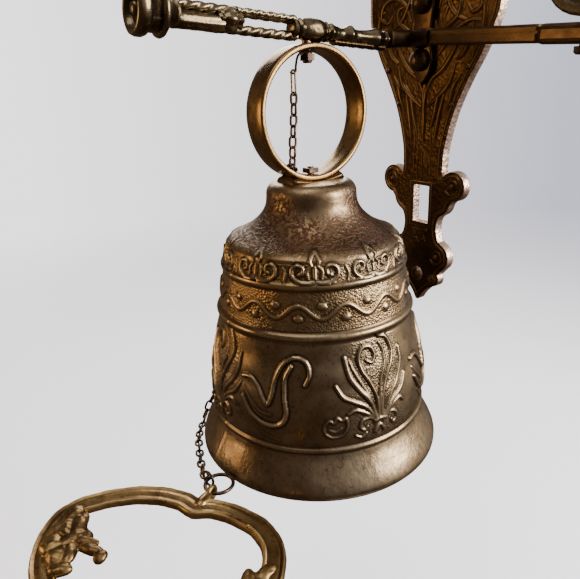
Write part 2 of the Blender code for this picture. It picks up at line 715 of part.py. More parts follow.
def build_pull_handle():
    """Cast heart-shaped pull with a shank and eye, leaf masses at both sides and a drop inside it."""
    flatten = HANDLE_BAR_THICK / 2 / HANDLE_BAR_HALF
    path = [(u, v, 0.0) for u, v in pull_line()]
    bm = curve_mesh("pull_handle", path, HANDLE_BAR_HALF, True, 1)
    bmesh.ops.scale(bm, vec=(1, 1, flatten), verts=bm.verts)
    turn = Matrix.Rotation(HANDLE_ANGLE - math.radians(90), 4, "Z")
    place = Matrix.Translation(HANDLE_DIP) @ turn
    bmesh.ops.transform(bm, matrix=place, verts=bm.verts)
    handle = add_object("pull_handle", mesh_from("pull_handle", bm), "pull_brass")
    for side in (-1, 1):
        for u, v, ru, rv, rw in ((42, 30, 6.5, 8, 3.4), (38, 40, 7.5, 8, 3.7), (36, 50, 6.0, 6, 3.2),
                                 (28, 40, 5.5, 3.4, 2.6)):
            spot = Matrix.Translation(handle_place(side * u, v)) @ turn
            join(handle, ball("leaf_mass", (ru, rv, rw), spot, sides=10))
    drop = Matrix.Translation(handle_place(0, DROP_V))
    join(handle, ball("inner_drop", (4.2, 5.0, 2.6), drop, sides=10))
    shank = along(tuple(handle_place(0, -0.8)), tuple(handle_place(0, -1) - handle_place(0, 0)))
    join(handle, cylinder("shank", 1.7, 7.6, shank, sides=14))
    eye = [tuple(handle_place(0, HANDLE_EYE_V + EYE_RADIUS * math.cos(a), EYE_RADIUS * math.sin(a)))
           for a in [math.tau * k / 14 for k in range(14)]]
    join(handle, wire("shank_eye", eye, EYE_WIRE, closed=True, resolution=1))
    return handle


def jump_ring(name, centre, radius, wire_radius, axis_a, axis_b):
    """Round ring in the plane of two axes."""
    a_axis = Vector(axis_a).normalized()
    b_axis = Vector(axis_b).normalized()
    middle = radius - wire_radius
    points = []
    for k in range(18):
        a = math.tau * k / 18
        points.append(tuple(centre + a_axis * middle * math.cos(a) + b_axis * middle * math.sin(a)))
    return wire(name, points, wire_radius, "dark_steel", closed=True, resolution=1)


def build_jump_rings():
    """Flat large ring through the shank's eye, upright small ring between it and the chain."""
    away = (handle_place(0, -1) - handle_place(0, 0)).normalized()
    across = handle_place(1, 0) - handle_place(0, 0)
    large = handle_place(0, HANDLE_EYE_V) + away * (LARGE_RING - LARGE_RING_WIRE)
    jump_ring("large_jump_ring", large, LARGE_RING, LARGE_RING_WIRE, away, across)
    towards = (tail_path()[-1] - large).normalized()
    reach = LARGE_RING - LARGE_RING_WIRE + SMALL_RING - 2.4 * SMALL_RING_WIRE - LARGE_RING_WIRE
    jump_ring("small_jump_ring", large + towards * reach, SMALL_RING, SMALL_RING_WIRE, towards, (0, 0, 1))


# ---------------------------------------------------------------- assembly

clear_scene()
PARTS = new_collection("sanctus_bell")
CUTTERS = new_collection("cutters")

build_wall_plate()
build_plate_screws()
build_dome_bolts()
build_arm_bracket()
build_arm_root()
build_bell_boss()
build_arm_rails()
build_arm_end()
build_side_arm()
build_side_block()
build_side_rosette()
build_rosette_screw()
build_bell_shell()
build_suspension_ring()
build_bell_bolt()
build_bell_nut()
build_chain_hook()
build_clapper_staple()
build_staple_nut()
build_clapper()
build_hanging_chain()
chain("draped_chain", drape_path(), 2.0, 38, 0, (outward, sideways))
chain("tail_chain", tail_path(), 0.3, 12, 1, (outward, (0, 0, 1)))
build_pull_handle()
build_jump_rings()
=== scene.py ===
"""Looks of the wall-hung sanctus bell: cast and turned brass, relief, chain and studio."""

import math
import random

import bmesh
import bpy
import numpy as np
from mathutils import Matrix, Vector


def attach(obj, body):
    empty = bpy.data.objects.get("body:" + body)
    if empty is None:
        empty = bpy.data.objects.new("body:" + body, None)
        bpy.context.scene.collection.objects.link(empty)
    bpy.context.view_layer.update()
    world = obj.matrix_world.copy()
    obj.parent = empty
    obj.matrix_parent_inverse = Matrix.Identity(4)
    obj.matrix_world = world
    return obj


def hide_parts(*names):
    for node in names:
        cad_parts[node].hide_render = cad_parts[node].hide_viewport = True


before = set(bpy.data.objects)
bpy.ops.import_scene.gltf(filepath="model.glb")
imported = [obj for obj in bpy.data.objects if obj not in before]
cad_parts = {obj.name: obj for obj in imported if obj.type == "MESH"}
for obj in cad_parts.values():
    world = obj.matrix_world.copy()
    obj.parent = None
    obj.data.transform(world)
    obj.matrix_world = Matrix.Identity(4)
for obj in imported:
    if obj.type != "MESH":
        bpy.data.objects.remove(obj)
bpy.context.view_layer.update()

MM = 0.001
ROOT = "bracket_and_bell"

BELL_Y = -74.0
LIP_Z = -181.0
RING_Z = -28.7
RING_RADIUS = 27.1
PLATE_FRONT = -5.0
PLATE_MID_Z = 20.0
SIDE_Y = -16.0


# ---------------------------------------------------------------- node helpers

class Nodes:
    """Short way to build the node tree of a material or a world."""

    def __init__(self, owner):
        owner.use_nodes = True
        self.owner = owner
        self.tree = owner.node_tree
        self.shader = self.tree.nodes.get("Principled BSDF")
        self.coords = self.add("ShaderNodeTexCoord").outputs
        self.place = self.coords["Object"]

    def add(self, kind, **settings):
        """New node; settings are its properties, or its inputs with _ for a space in the name."""
        node = self.tree.nodes.new(kind)
        for key, value in settings.items():
            if hasattr(node, key):
                setattr(node, key, value)
            else:
                node.inputs[key.replace("_", " ")].default_value = value
        return node

    def link(self, source, target):
        self.tree.links.new(source, target)

    def noise(self, scale, detail=4.0, rough=0.5, stretch=None):
        node = self.add("ShaderNodeTexNoise", Scale=scale, Detail=detail, Roughness=rough)
        self.link(self.stretched(stretch), node.inputs["Vector"])
        return node.outputs["Fac"]

    def cells(self, scale):
        node = self.add("ShaderNodeTexVoronoi", Scale=scale)
        self.link(self.place, node.inputs["Vector"])
        return node.outputs["Distance"]

    def stretched(self, stretch):
        if stretch is None:
            return self.place
        mapping = self.add("ShaderNodeMapping", Scale=stretch)
        self.link(self.place, mapping.inputs["Vector"])
        return mapping.outputs["Vector"]

    def spread(self, source, low, high, to_low=0.0, to_high=1.0):
        """Map low..high of a value onto to_low..to_high, clamped."""
        node = self.add("ShaderNodeMapRange", clamp=True, From_Min=low, From_Max=high,
                        To_Min=to_low, To_Max=to_high)
        self.link(source, node.inputs["Value"])
        return node.outputs["Result"]

    def math(self, operation, a, b):
        node = self.add("ShaderNodeMath", operation=operation)
        for socket, value in zip(node.inputs, (a, b)):
            if isinstance(value, (int, float)):
                socket.default_value = value
            else:
                self.link(value, socket)
        return node.outputs["Value"]

    def blend(self, factor, low, high):
        node = self.add("ShaderNodeMix", data_type="RGBA")
        self.link(factor, node.inputs["Factor"])
        for socket, value in zip((node.inputs[6], node.inputs[7]), (low, high)):
            if isinstance(value, tuple):
                socket.default_value = (*value, 1.0)
            else:
                self.link(value, socket)
        return node.outputs[2]

    def attribute(self, name):
        return self.add("ShaderNodeAttribute", attribute_name=name).outputs["Fac"]

    def bump(self, layers):
        """Chain of bumps, each (height, strength, distance in metres)."""
        normal = None
        for height, strength, distance in layers:
            node = self.add("ShaderNodeBump", Strength=strength, Distance=distance)
            self.link(height, node.inputs["Height"])
            if normal:
                self.link(normal, node.inputs["Normal"])
            normal = node.outputs["Normal"]
        self.link(normal, self.shader.inputs["Normal"])

    def metal(self, colour, roughness):
        """Metal with this colour and roughness on the Principled shader."""
        self.link(colour, self.shader.inputs["Base Color"])
        self.shader.inputs["Metallic"].default_value = 1.0
        self.link(roughness, self.shader.inputs["Roughness"])

    def dot(self, source, direction):
        node = self.add("ShaderNodeVectorMath", operation="DOT_PRODUCT")
        node.inputs[1].default_value = direction
        self.link(source, node.inputs[0])
        return node.outputs["Value"]

    def ramp(self, source, low, high):
        """Colour between two stops, each (position, colour)."""
        node = self.add("ShaderNodeValToRGB")
        for stop, (position, colour) in zip(node.color_ramp.elements, (low, high)):
            stop.position = position
            stop.color = (*colour, 1.0)
        self.link(source, node.inputs["Fac"])
        return node.outputs["Color"]

    def output(self, name, factor, first, second):
        """Mix two shaders by a factor into the named output node."""
        mix = self.add("ShaderNodeMixShader")
        self.link(factor, mix.inputs["Fac"])
        self.link(first, mix.inputs[1])
        self.link(second, mix.inputs[2])
        self.link(mix.outputs["Shader"], self.tree.nodes[name].inputs["Surface"])


# ---------------------------------------------------------------- materials

STIPPLE_SCALE = 620.0


def cast_brass(name, bright, dark, patina, roughness, grain=1.0, stipple=0.0, edge=None):
    """Cast brass: tarnish in clouds, dark hollows, rubbed high spots, pits and fine scratches.

    edge is the colour painted on the sides, which face along the wall and not out of it: a painted highlight
    for the lit edge, broken up by noise.
    """
    n = Nodes(bpy.data.materials.new(name))
    clouds = n.spread(n.noise(38.0, 5.0, 0.6), 0.36, 0.66)
    specks = n.spread(n.noise(420.0, 3.0, 0.6), 0.52, 0.68)
    colour = n.blend(clouds, dark, bright)
    colour = n.blend(n.math("MULTIPLY", specks, 0.45), colour, patina)
    pointy = n.add("ShaderNodeNewGeometry").outputs["Pointiness"]
    colour = n.blend(n.spread(pointy, 0.50, 0.42, 0.0, 0.75), colour, patina)
    rubbed = tuple(min(1.0, c * 1.5) for c in bright)
    colour = n.blend(n.spread(pointy, 0.52, 0.60, 0.0, 0.6), colour, rubbed)
    if stipple:
        colour = n.blend(n.spread(n.cells(STIPPLE_SCALE), 0.55, 0.25, 0.0, 0.5 * stipple), colour, patina)
    # Painted highlight: sides are tinted towards the pale edge colour; the worn mask below is this painted
    # highlight, broken up by noise.
    if edge:
        split = n.add("ShaderNodeSeparateXYZ")
        n.link(n.coords["Normal"], split.inputs[0])
        side_highlight_mask = n.spread(n.math("ABSOLUTE", split.outputs["Y"], 0.0), 0.75, 0.35)
        worn = n.math("MULTIPLY", side_highlight_mask, n.spread(n.noise(60.0, 3.0), 0.30, 0.50, 0.45, 1.0))
        colour = n.blend(worn, colour, edge)
    n.metal(colour, n.spread(n.noise(90.0, 6.0, 0.65), 0.3, 0.7, roughness * 0.7, roughness * 1.45))
    scratches = n.noise(260.0, 2.0, 0.5, (1.0, 1.0, 9.0))
    layers = [(n.noise(150.0, 4.0), 0.35 * grain, 0.0006), (n.cells(900.0), 0.25 * grain, 0.00015),
              (scratches, 0.12 * grain, 0.0001)]
    if stipple:
        layers.append((n.cells(STIPPLE_SCALE), 0.8 * stipple, 0.0005))
    n.bump(layers)
    return n.owner


def bell_brass():
    """Bell metal: pitted shoulder and crown darkened partly by tarnish and partly with painted shade,
    stippled bands, tooled flare, brown tarnish and pale rubbed brass.

    It reads three attributes of the bell mesh: the painted shade beside the relief strokes and in the
    grooves, rubbed and ground; heights here are metres above the lip.
    """
    n = Nodes(bpy.data.materials.new("bell_brass"))
    axes = n.add("ShaderNodeSeparateXYZ")
    n.link(n.place, axes.inputs[0])
    height = n.math("SUBTRACT", axes.outputs["Z"], LIP_Z * MM)
    clouds = n.spread(n.noise(26.0, 6.0, 0.62), 0.34, 0.68)
    colour = n.blend(clouds, (0.130, 0.086, 0.046), (0.31, 0.235, 0.150))
    warm = n.spread(n.noise(14.0, 3.0, 0.5), 0.45, 0.65)
    colour = n.blend(n.math("MULTIPLY", warm, 0.55), colour, (0.30, 0.165, 0.042))
    # Shoulder and crown darkened by height: partly pitted tarnish, partly painted shade.
    shoulder = n.math("MULTIPLY", n.spread(height, 0.099, 0.103), n.spread(height, 0.1265, 0.119))
    pits = n.spread(n.noise(620.0, 2.0, 0.7), 0.44, 0.56)
    patch = n.spread(n.noise(45.0, 2.0), 0.34, 0.54)
    pitted = n.math("MULTIPLY", shoulder, n.math("MULTIPLY", pits, patch))
    colour = n.blend(n.math("MULTIPLY", shoulder, 0.5), colour, (0.075, 0.042, 0.022))
    colour = n.blend(n.math("MULTIPLY", pitted, 0.85), colour, (0.060, 0.020, 0.013))
    # Painted shade beside the relief strokes and in the grooves between mouldings.
    colour = n.blend(n.spread(n.attribute("painted_shade"), 0.0, 1.0, 0.0, 0.9), colour, (0.028, 0.015, 0.007))
    colour = n.blend(n.spread(n.attribute("rubbed"), 0.1, 1.0, 0.0, 0.75), colour, (0.50, 0.38, 0.23))
    specks = n.spread(n.noise(500.0, 2.0, 0.7), 0.56, 0.70)
    colour = n.blend(n.math("MULTIPLY", specks, 0.55), colour, (0.07, 0.035, 0.015))
    rough = n.spread(n.noise(75.0, 6.0, 0.7), 0.3, 0.7, 0.22, 0.42)
    n.metal(colour, n.math("ADD", rough, n.math("MULTIPLY", pitted, 0.25)))
    flare = n.spread(height, 0.0205, 0.018)
    tooling = n.math("MULTIPLY", n.noise(330.0, 3.0, 0.6, (1.0, 1.0, 0.22)), flare)
    stipple = n.math("MULTIPLY", n.cells(1150.0), n.attribute("ground"))
    n.bump([(n.noise(85.0, 4.0), 0.32, 0.0007), (tooling, 0.5, 0.0004), (stipple, 0.7, 0.0004),
            (pitted, 0.55, 0.0003), (n.noise(700.0, 2.0), 0.12, 0.0002)])
    return n.owner


def dark_metal(name, base, worn, roughness):
    """Darkened steel or iron with worn, paler patches."""
    n = Nodes(bpy.data.materials.new(name))
    wear = n.spread(n.noise(180.0, 4.0, 0.6), 0.5, 0.68)
    rough = n.spread(n.noise(240.0, 3.0), 0.3, 0.7, roughness * 0.75, roughness * 1.4)
    n.metal(n.blend(wear, base, worn), rough)
    n.bump([(n.noise(600.0, 3.0), 0.25, 0.00025)])
    return n.owner


MATERIALS = {
    "lacquer": cast_brass("lacquered_brass", (0.080, 0.046, 0.021), (0.036, 0.019, 0.009),
                          (0.012, 0.006, 0.003), 0.33, 0.7),
    # The plate's last colour is the painted highlight on its sides.
    "plate": cast_brass("plate_brass", (0.092, 0.050, 0.020), (0.038, 0.019, 0.008),
                        (0.010, 0.005, 0.003), 0.36, 0.6, 0.5, (0.46, 0.32, 0.24)),
    "relief": cast_brass("relief_brass", (0.125, 0.070, 0.028), (0.050, 0.026, 0.010),
                         (0.010, 0.005, 0.003), 0.33, 0.8),
    "arm": cast_brass("arm_brass", (0.20, 0.148, 0.084), (0.062, 0.042, 0.021), (0.012, 0.008, 0.005), 0.25),
    "bell": bell_brass(),
    "loop": cast_brass("loop_brass", (0.27, 0.165, 0.062), (0.15, 0.083, 0.030),
                       (0.06, 0.032, 0.013), 0.27, 0.28),
    "pull": cast_brass("pull_brass", (0.27, 0.170, 0.066), (0.115, 0.067, 0.026),
                       (0.020, 0.011, 0.005), 0.33, 0.8),
    "steel": dark_metal("dark_steel", (0.055, 0.036, 0.026), (0.20, 0.12, 0.07), 0.34),
    "iron": dark_metal("dark_iron", (0.07, 0.055, 0.045), (0.18, 0.14, 0.10), 0.40),
}


def finish_node(node, material):
    """Give a CAD node a material, on every slot it has."""
    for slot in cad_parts[node].material_slots:
        slot.material = MATERIALS[material]


# ---------------------------------------------------------------- mesh helpers

LATHE_STEPS = 96


def add_piece(name, mesh, material, body, node=None):
    """New object riding a body, in place of a CAD node if one is named."""
    obj = bpy.data.objects.new(name, mesh)
    bpy.context.scene.collection.objects.link(obj)
    mesh.materials.clear()
    mesh.materials.append(MATERIALS[material])
    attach(obj, body)
    if node:
        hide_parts(node)
    return obj


def mesh_of(name, bm, angle):
    """Mesh in metres from a bmesh in millimetres, smooth but for edges sharper than angle."""
    bmesh.ops.recalc_face_normals(bm, faces=bm.faces)
    bmesh.ops.scale(bm, vec=(MM, MM, MM), verts=bm.verts)
    mesh = bpy.data.meshes.new(name)
    bm.to_mesh(mesh)
    bm.free()
    mesh.shade_smooth()
    mesh.set_sharp_from_angle(angle=math.radians(angle))
    return mesh


def add_mesh(name, bm, angle, material, body, node=None):
    """New piece from a bmesh, as mesh_of and add_piece."""
    return add_piece(name, mesh_of(name, bm, angle), material, body, node)


def spline(points, per_span):
    """Points of a Catmull-Rom curve through 2D or 3D points."""
    pts = [Vector(p) for p in points]
    ends = [pts[0] * 2 - pts[1]] + pts + [pts[-1] * 2 - pts[-2]]
    curve = []
    for a, b, c, d in zip(ends, ends[1:], ends[2:], ends[3:]):
        for k in range(per_span):
            t = k / per_span
            curve.append(0.5 * (2 * b + (c - a) * t + (2 * a - 5 * b + 4 * c - d) * t ** 2
                                + (3 * b - a - 3 * c + d) * t ** 3))
    curve.append(pts[-1])
    return curve


def arc(centre, radius, start, end, steps):
    """Points of an arc between two angles in degrees."""
    angles = [math.radians(start + (end - start) * k / steps) for k in range(steps + 1)]
    return [(centre[0] + radius * math.cos(a), centre[1] + radius * math.sin(a)) for a in angles]


def full_turn(count):
    """Equal angles once round, in radians."""
    return [math.tau * k / count for k in range(count)]


def squared(value, power):
    """A sine or cosine bent towards a squarer section."""
    return math.copysign(abs(value) ** power, value)


def loft(bm, rings, closed_along=False):
    """Skin a list of equal closed rings of points, capped unless the rings close on themselves."""
    rows = [[bm.verts.new(p) for p in ring] for ring in rings]
    count = len(rows[0])
    pairs = list(zip(rows, rows[1:]))
    if closed_along:
        pairs.append((rows[-1], rows[0]))
    for a, b in pairs:
        for k in range(count):
            j = (k + 1) % count
            bm.faces.new((a[k], a[j], b[j], b[k]))
    if not closed_along:
        bm.faces.new(list(reversed(rows[0])))
        bm.faces.new(rows[-1])


def frames_along(path, closed=False):
    """Point, normal and binormal along a path, carried along without twist."""
    pts = [Vector(p) for p in path]
    count = len(pts)
    tangents = []
    for k in range(count):
        before = pts[(k - 1) % count] if closed or k > 0 else pts[0]
        after = pts[(k + 1) % count] if closed or k < count - 1 else pts[-1]
        tangents.append((after - before).normalized())
    normal = tangents[0].orthogonal().normalized()
    frames = []
    for point, tangent in zip(pts, tangents):
        normal = (normal - tangent * normal.dot(tangent)).normalized()
        frames.append((point, normal, tangent.cross(normal)))
    return frames


def tube(bm, path, radius, sides=10, closed=False, radii=None):
    """Round tube along a path; radii overrides the radius point by point."""
    rings = []
    for k, (point, normal, side) in enumerate(frames_along(path, closed)):
        r = radii[k] if radii else radius
        rings.append([point + (normal * math.cos(a) + side * math.sin(a)) * r for a in full_turn(sides)])
    loft(bm, rings, closed)


def rope(bm, start, end, radius, lobes=3, pitch=5.0, depth=0.2, sides=24, step=0.35):
    """Twisted rope between two points: a lobed section that turns as it goes."""
    start, end = Vector(start), Vector(end)
    length = (end - start).length
    count = int(length / step)
    path = [start.lerp(end, k / count) for k in range(count + 1)]
    rings = []
    for k, (point, normal, side) in enumerate(frames_along(path)):
        turn = math.tau * k * step / (pitch * lobes)
        ring = []
        for a in full_turn(sides):
            r = radius * (1.0 - depth + depth * abs(math.cos(lobes * (a + turn) / 2)) * 1.6)
            ring.append(point + (normal * math.cos(a) + side * math.sin(a)) * r)
        rings.append(ring)
    loft(bm, rings)


def lathe(name, outline, place, node=None, angle=38.0, wobble=None):
    """Turned piece of the arm from an outline of (radius, height), both ends on the axis."""
    bm = bmesh.new()
    rows = []
    for r, z in outline:
        if r < 1e-6:
            rows.append([bm.verts.new(place @ Vector((0, 0, z)))])
            continue
        row = []
        for a in full_turn(LATHE_STEPS):
            rr = r + (wobble(a, r, z) if wobble else 0.0)
            row.append(bm.verts.new(place @ Vector((rr * math.cos(a), rr * math.sin(a), z))))
        rows.append(row)
    for a, b in zip(rows, rows[1:]):
        for k in range(LATHE_STEPS):
            j = (k + 1) % LATHE_STEPS
            ring = [a[k % len(a)], a[j % len(a)], b[j % len(b)], b[k % len(b)]]
            unique = list(dict.fromkeys(ring))
            if len(unique) > 2:
                bm.faces.new(unique)
    add_mesh(name, bm, angle, "arm", ROOT, node)


def along(origin, direction):
    """Matrix that turns +Z to a direction and keeps the section level."""
    z_axis = Vector(direction).normalized()
    y_axis = z_axis.cross(Vector((1, 0, 0))).normalized()
    x_axis = y_axis.cross(z_axis)
    matrix = Matrix((x_axis, y_axis, z_axis)).transposed().to_4x4()
    matrix.translation = Vector(origin)
    return matrix


# ---------------------------------------------------------------- bell

def flipped(points):
    """Mirror image of a stroke, left for right."""
    return [(-x, up) for x, up in points]


PALMETTE_ANGLES = [-5.2 + 90.0 * k for k in range(4)]
SCROLL_ANGLES = [-57.5, 39.0, 124.0, 212.0]
SHELL_ANGLES = [-28.0 + 90.0 * k for k in range(4)]

# Strokes in millimetres round the bell and up from the lip: points, half width, height
PALMETTE = [
    ([(-0.8, 33), (-1.4, 42), (-3.8, 49), (-6.8, 54.5), (-7.6, 59.6), (-5.4, 63.6), (-1.8, 63.4),
      (-0.2, 59.8), (-1.8, 57.0), (-4.2, 58.2)], 0.95, 1.0),
    ([(1.0, 33), (1.6, 42), (4.4, 49.5), (7.6, 55), (8.8, 60), (6.4, 65.6), (2.4, 67.2)], 1.15, 1.0),
    ([(0.2, 34), (0.4, 43), (1.8, 50), (4.2, 55.4), (4.4, 60.4), (2.6, 64.4)], 0.8, 0.8),
    ([(-2.0, 33), (-4.6, 41), (-8.8, 47), (-12.4, 53), (-13.4, 60.6)], 1.3, 1.0),
    ([(-4.4, 43.0), (-7.6, 49.0), (-10.4, 55.0), (-11.8, 59.6)], 0.6, 0.6),
    ([(2.4, 33), (5.6, 41), (10.2, 46.5), (13.2, 53), (13.4, 59)], 1.2, 0.95),
    ([(-2.4, 33), (-6.5, 39), (-12.0, 42.5), (-16.2, 45), (-18.6, 49.6)], 1.1, 0.9),
    ([(2.8, 33), (7.2, 38.5), (12.4, 42), (15.6, 47)], 1.05, 0.85),
    ([(-2.6, 32.8), (-7.0, 36.4), (-11.4, 38.6), (-14.8, 37.4)], 0.95, 0.8),
    ([(3.0, 32.8), (7.4, 36.4), (11.2, 37.8), (13.4, 36.0)], 0.95, 0.75),
    ([(-2.2, 31.2), (-5.2, 33.8), (-8.6, 33.2), (-9.6, 30.4), (-7.6, 28.6), (-6.4, 30.2)], 0.8, 0.85),
    ([(-6.8, 27.0), (-9.0, 25.4), (-11.6, 26.6)], 0.8, 0.7),
    ([(2.4, 31.2), (5.2, 33.4), (8.4, 32.2), (9.0, 29.2), (6.8, 27.8), (5.8, 29.6)], 0.8, 0.8),
    ([(-2.8, 31.8), (0.0, 32.4), (3.0, 31.8)], 1.2, 1.1),
    ([(-1.6, 31), (-2.8, 26.2), (-0.2, 29.4), (2.0, 26.0), (1.8, 30.8)], 0.8, 0.8),
]
SCROLL = [
    ([(-15.5, 50.5), (-11.0, 51.0), (-7.2, 48.0), (-4.6, 43.5), (-2.6, 41.0), (-0.8, 45.0), (0.6, 52.0),
      (3.6, 58.6), (8.4, 61.6), (13.0, 60.0), (14.8, 55.0), (13.2, 50.6)], 1.1, 1.1),
    ([(7.0, 58.0), (4.8, 52.5), (5.0, 45.0), (5.8, 38.0), (3.8, 33.4), (-0.6, 31.6), (-5.6, 32.2),
      (-11.0, 35.6), (-15.0, 42.0)], 1.2, 1.2),
    ([(-15.0, 46.4), (-10.0, 40.4), (-6.0, 37.0), (-1.0, 36.4)], 0.8, 0.55),
    ([(-12.0, 34.0), (-6.0, 27.4), (2.0, 24.8)], 0.7, 0.45),
]
SHELL = [
    ([(-4.4, 29.4), (-4.8, 33.0), (-2.6, 35.4), (-0.8, 34.2), (0.6, 36.4), (2.6, 35.0), (4.4, 35.8),
      (5.0, 31.8), (3.0, 28.2), (-1.4, 27.4), (-4.4, 29.4)], 0.7, 0.7),
    ([(-2.6, 31.0), (-0.2, 30.0), (2.4, 31.4)], 0.8, 0.45),
]
FRIEZE_COUNT = 10
FRIEZE_START = 0.5
FRIEZE_PAIRS = [
    ([(0.6, 92.2), (3.4, 91.9), (6.8, 92.4), (9.0, 94.4), (8.8, 97.0), (6.8, 98.4), (4.8, 97.4), (4.8, 95.4),
      (6.4, 94.8)], 0.95, 0.95),
    ([(2.6, 93.4), (3.0, 96.2), (1.2, 98.2)], 0.8, 0.75),
]
FRIEZE = FRIEZE_PAIRS + [(flipped(points), half, tall) for points, half, tall in FRIEZE_PAIRS] + [
    ([(-1.2, 98.2), (-1.8, 100.2), (0.0, 102.6), (1.8, 100.2), (1.2, 98.2)], 0.8, 0.8),
    ([(0.0, 93.6), (0.0, 97.6)], 0.9, 0.8),
    ([(-12.4, 92.0), (-11.6, 95.0), (-12.4, 97.4)], 0.7, 0.65),
]

# Vine band between two heights: waves round the bell, their swing, and buds in the bends
BAND_LOW = 72.0
BAND_HIGH = 88.0
BAND_MIDDLE = 80.0
BAND_WAVES = 14
BAND_SWING = 2.7
VINE_HALF = 0.85
VINE_TALL = 0.75
BUD_TALL = 0.85
BUD_SIZE = (2.0, 1.5)

# Round mouldings: radius and height of the middle, reach outwards, half height
BEADS = ((41.1, 90.0, 1.15, 1.5), (44.1, 69.4, 1.35, 1.6), (50.2, 20.6, 1.1, 1.2))
GROOVE_HEIGHTS = (92.0, 88.2, 71.4, 67.2, 22.4, 18.9)
CROWN_TOP = 125.2
SHOULDER_FOOT = 97.0
SEAM_ANGLES = (-92.0, 88.0)
BELL_COLUMNS = 720


def bell_profile():
    """Outer line of the bell from crown to lip, radius and height above the lip, in dense steps."""
    crown = arc((14.6, 119.8), 5.2, 88, 4, 8)
    shoulder = spline([(19.8, 119.0), (20.4, 115.0), (23.0, 110.6), (28.0, 106.2), (33.2, 103.4),
                       (36.6, 101.8), (38.6, 100.2), (39.2, 98.6), (39.4, 96.8), (40.4, 92.2)], 12)
    upper, middle, lower = (bead(*sizes) for sizes in BEADS)
    band = spline([(41.2, 87.8), (42.4, 82.0), (43.2, 75.0), (43.7, 71.6)], 14)
    waist = spline([(44.6, 66.8), (46.0, 60.0), (47.7, 54.0), (48.8, 48.0), (49.8, 44.0), (50.5, 39.0),
                    (50.9, 32.0), (50.9, 26.0), (50.5, 22.6)], 16)
    flare = spline([(50.6, 18.9), (51.6, 16.0), (53.8, 11.6), (56.2, 7.0), (57.5, 3.6), (57.6, 1.4)], 7)
    return crown + [tuple(p) for p in shoulder + upper + band + middle + waist + lower + flare]


def bead(radius, height, reach, half):
    """Half round of a moulding, from its top to its foot."""
    angles = [math.radians(a) for a in range(20, 161, 20)]
    return [Vector((radius + reach * math.sin(a), height + half * math.cos(a))) for a in angles]


def bell_inside():
    """Inner line of the bell from lip to crown, ending on the axis."""
    rim = arc((56.3, 1.3), 1.3, 0, -180, 8)
    walls = spline([(54.9, 1.6), (51.2, 9.0), (47.6, 20.0), (46.8, 42.0), (41.4, 70.0), (36.8, 95.0),
                    (27.4, 102.6), (18.0, 110.6), (14.8, 119.0)], 4)
    return rim + [tuple(p) for p in walls] + [(8.0, 120.4), (0.0, 120.5)]


def stroke_field(around, up, strokes):
    """Height of raised strokes, and how deep a point lies in the shade beside one."""
    height = np.zeros_like(around)
    shade = np.zeros_like(around)
    for points, half, tall in strokes:
        path = spline(points, 5) if len(points) > 2 else [Vector(p) for p in points]
        count = len(path) - 1
        for k, (a, b) in enumerate(zip(path, path[1:])):
            middle = 1.0 - abs((k + 0.5) / count - 0.45) * 0.75
            wide = half * (0.42 + 0.46 * middle)
            dx, dy = b.x - a.x, b.y - a.y
            span = max(dx * dx + dy * dy, 1e-9)
            t = np.clip(((around - a.x) * dx + (up - a.y) * dy) / span, 0.0, 1.0)
            distance = np.hypot(around - a.x - t * dx, up - a.y - t * dy)
            crown = np.sqrt(np.clip(1.0 - (distance / wide) ** 2, 0.0, 1.0))
            height = np.maximum(height, crown * tall * (0.6 + 0.4 * middle))
            edge = np.exp(-((distance - wide - 0.28) / 0.50) ** 2)
            shade = np.maximum(shade, edge * tall)
    return height, shade


def wrapped(angle, centre):
    """Angle from a centre, between -180 and 180 degrees."""
    return (angle - centre + 180.0) % 360.0 - 180.0


def vine_band(radius, up, theta):
    """Waving stem with a bud in each bend: height, and shade beside it."""
    phase = theta * BAND_WAVES
    slope = BAND_SWING * BAND_WAVES / radius * np.cos(phase)
    away = np.abs(up - (BAND_MIDDLE + BAND_SWING * np.sin(phase))) / np.sqrt(1.0 + slope ** 2)
    rise = VINE_TALL * np.sqrt(np.clip(1.0 - (away / VINE_HALF) ** 2, 0.0, 1.0))
    dark = np.exp(-((away - 1.0) / 0.45) ** 2) * 0.8
    step = math.tau / BAND_WAVES / 2
    slot = np.round((theta - step / 2) / step)
    bud = slot * step + step / 2
    side = np.where(np.mod(slot, 2) == 0, -1.0, 1.0)
    across = (np.mod(theta - bud + math.pi, math.tau) - math.pi) * radius
    leaf = np.hypot(across / BUD_SIZE[0], (up - (BAND_MIDDLE + side * 2.6)) / BUD_SIZE[1])
    rise = np.maximum(rise, BUD_TALL * np.sqrt(np.clip(1.0 - leaf ** 2, 0.0, 1.0)))
    dark = np.maximum(dark, np.exp(-((leaf - 1.2) / 0.3) ** 2) * 0.7)
    return rise, dark


def between(values, low, high):
    return (values > low) & (values < high)


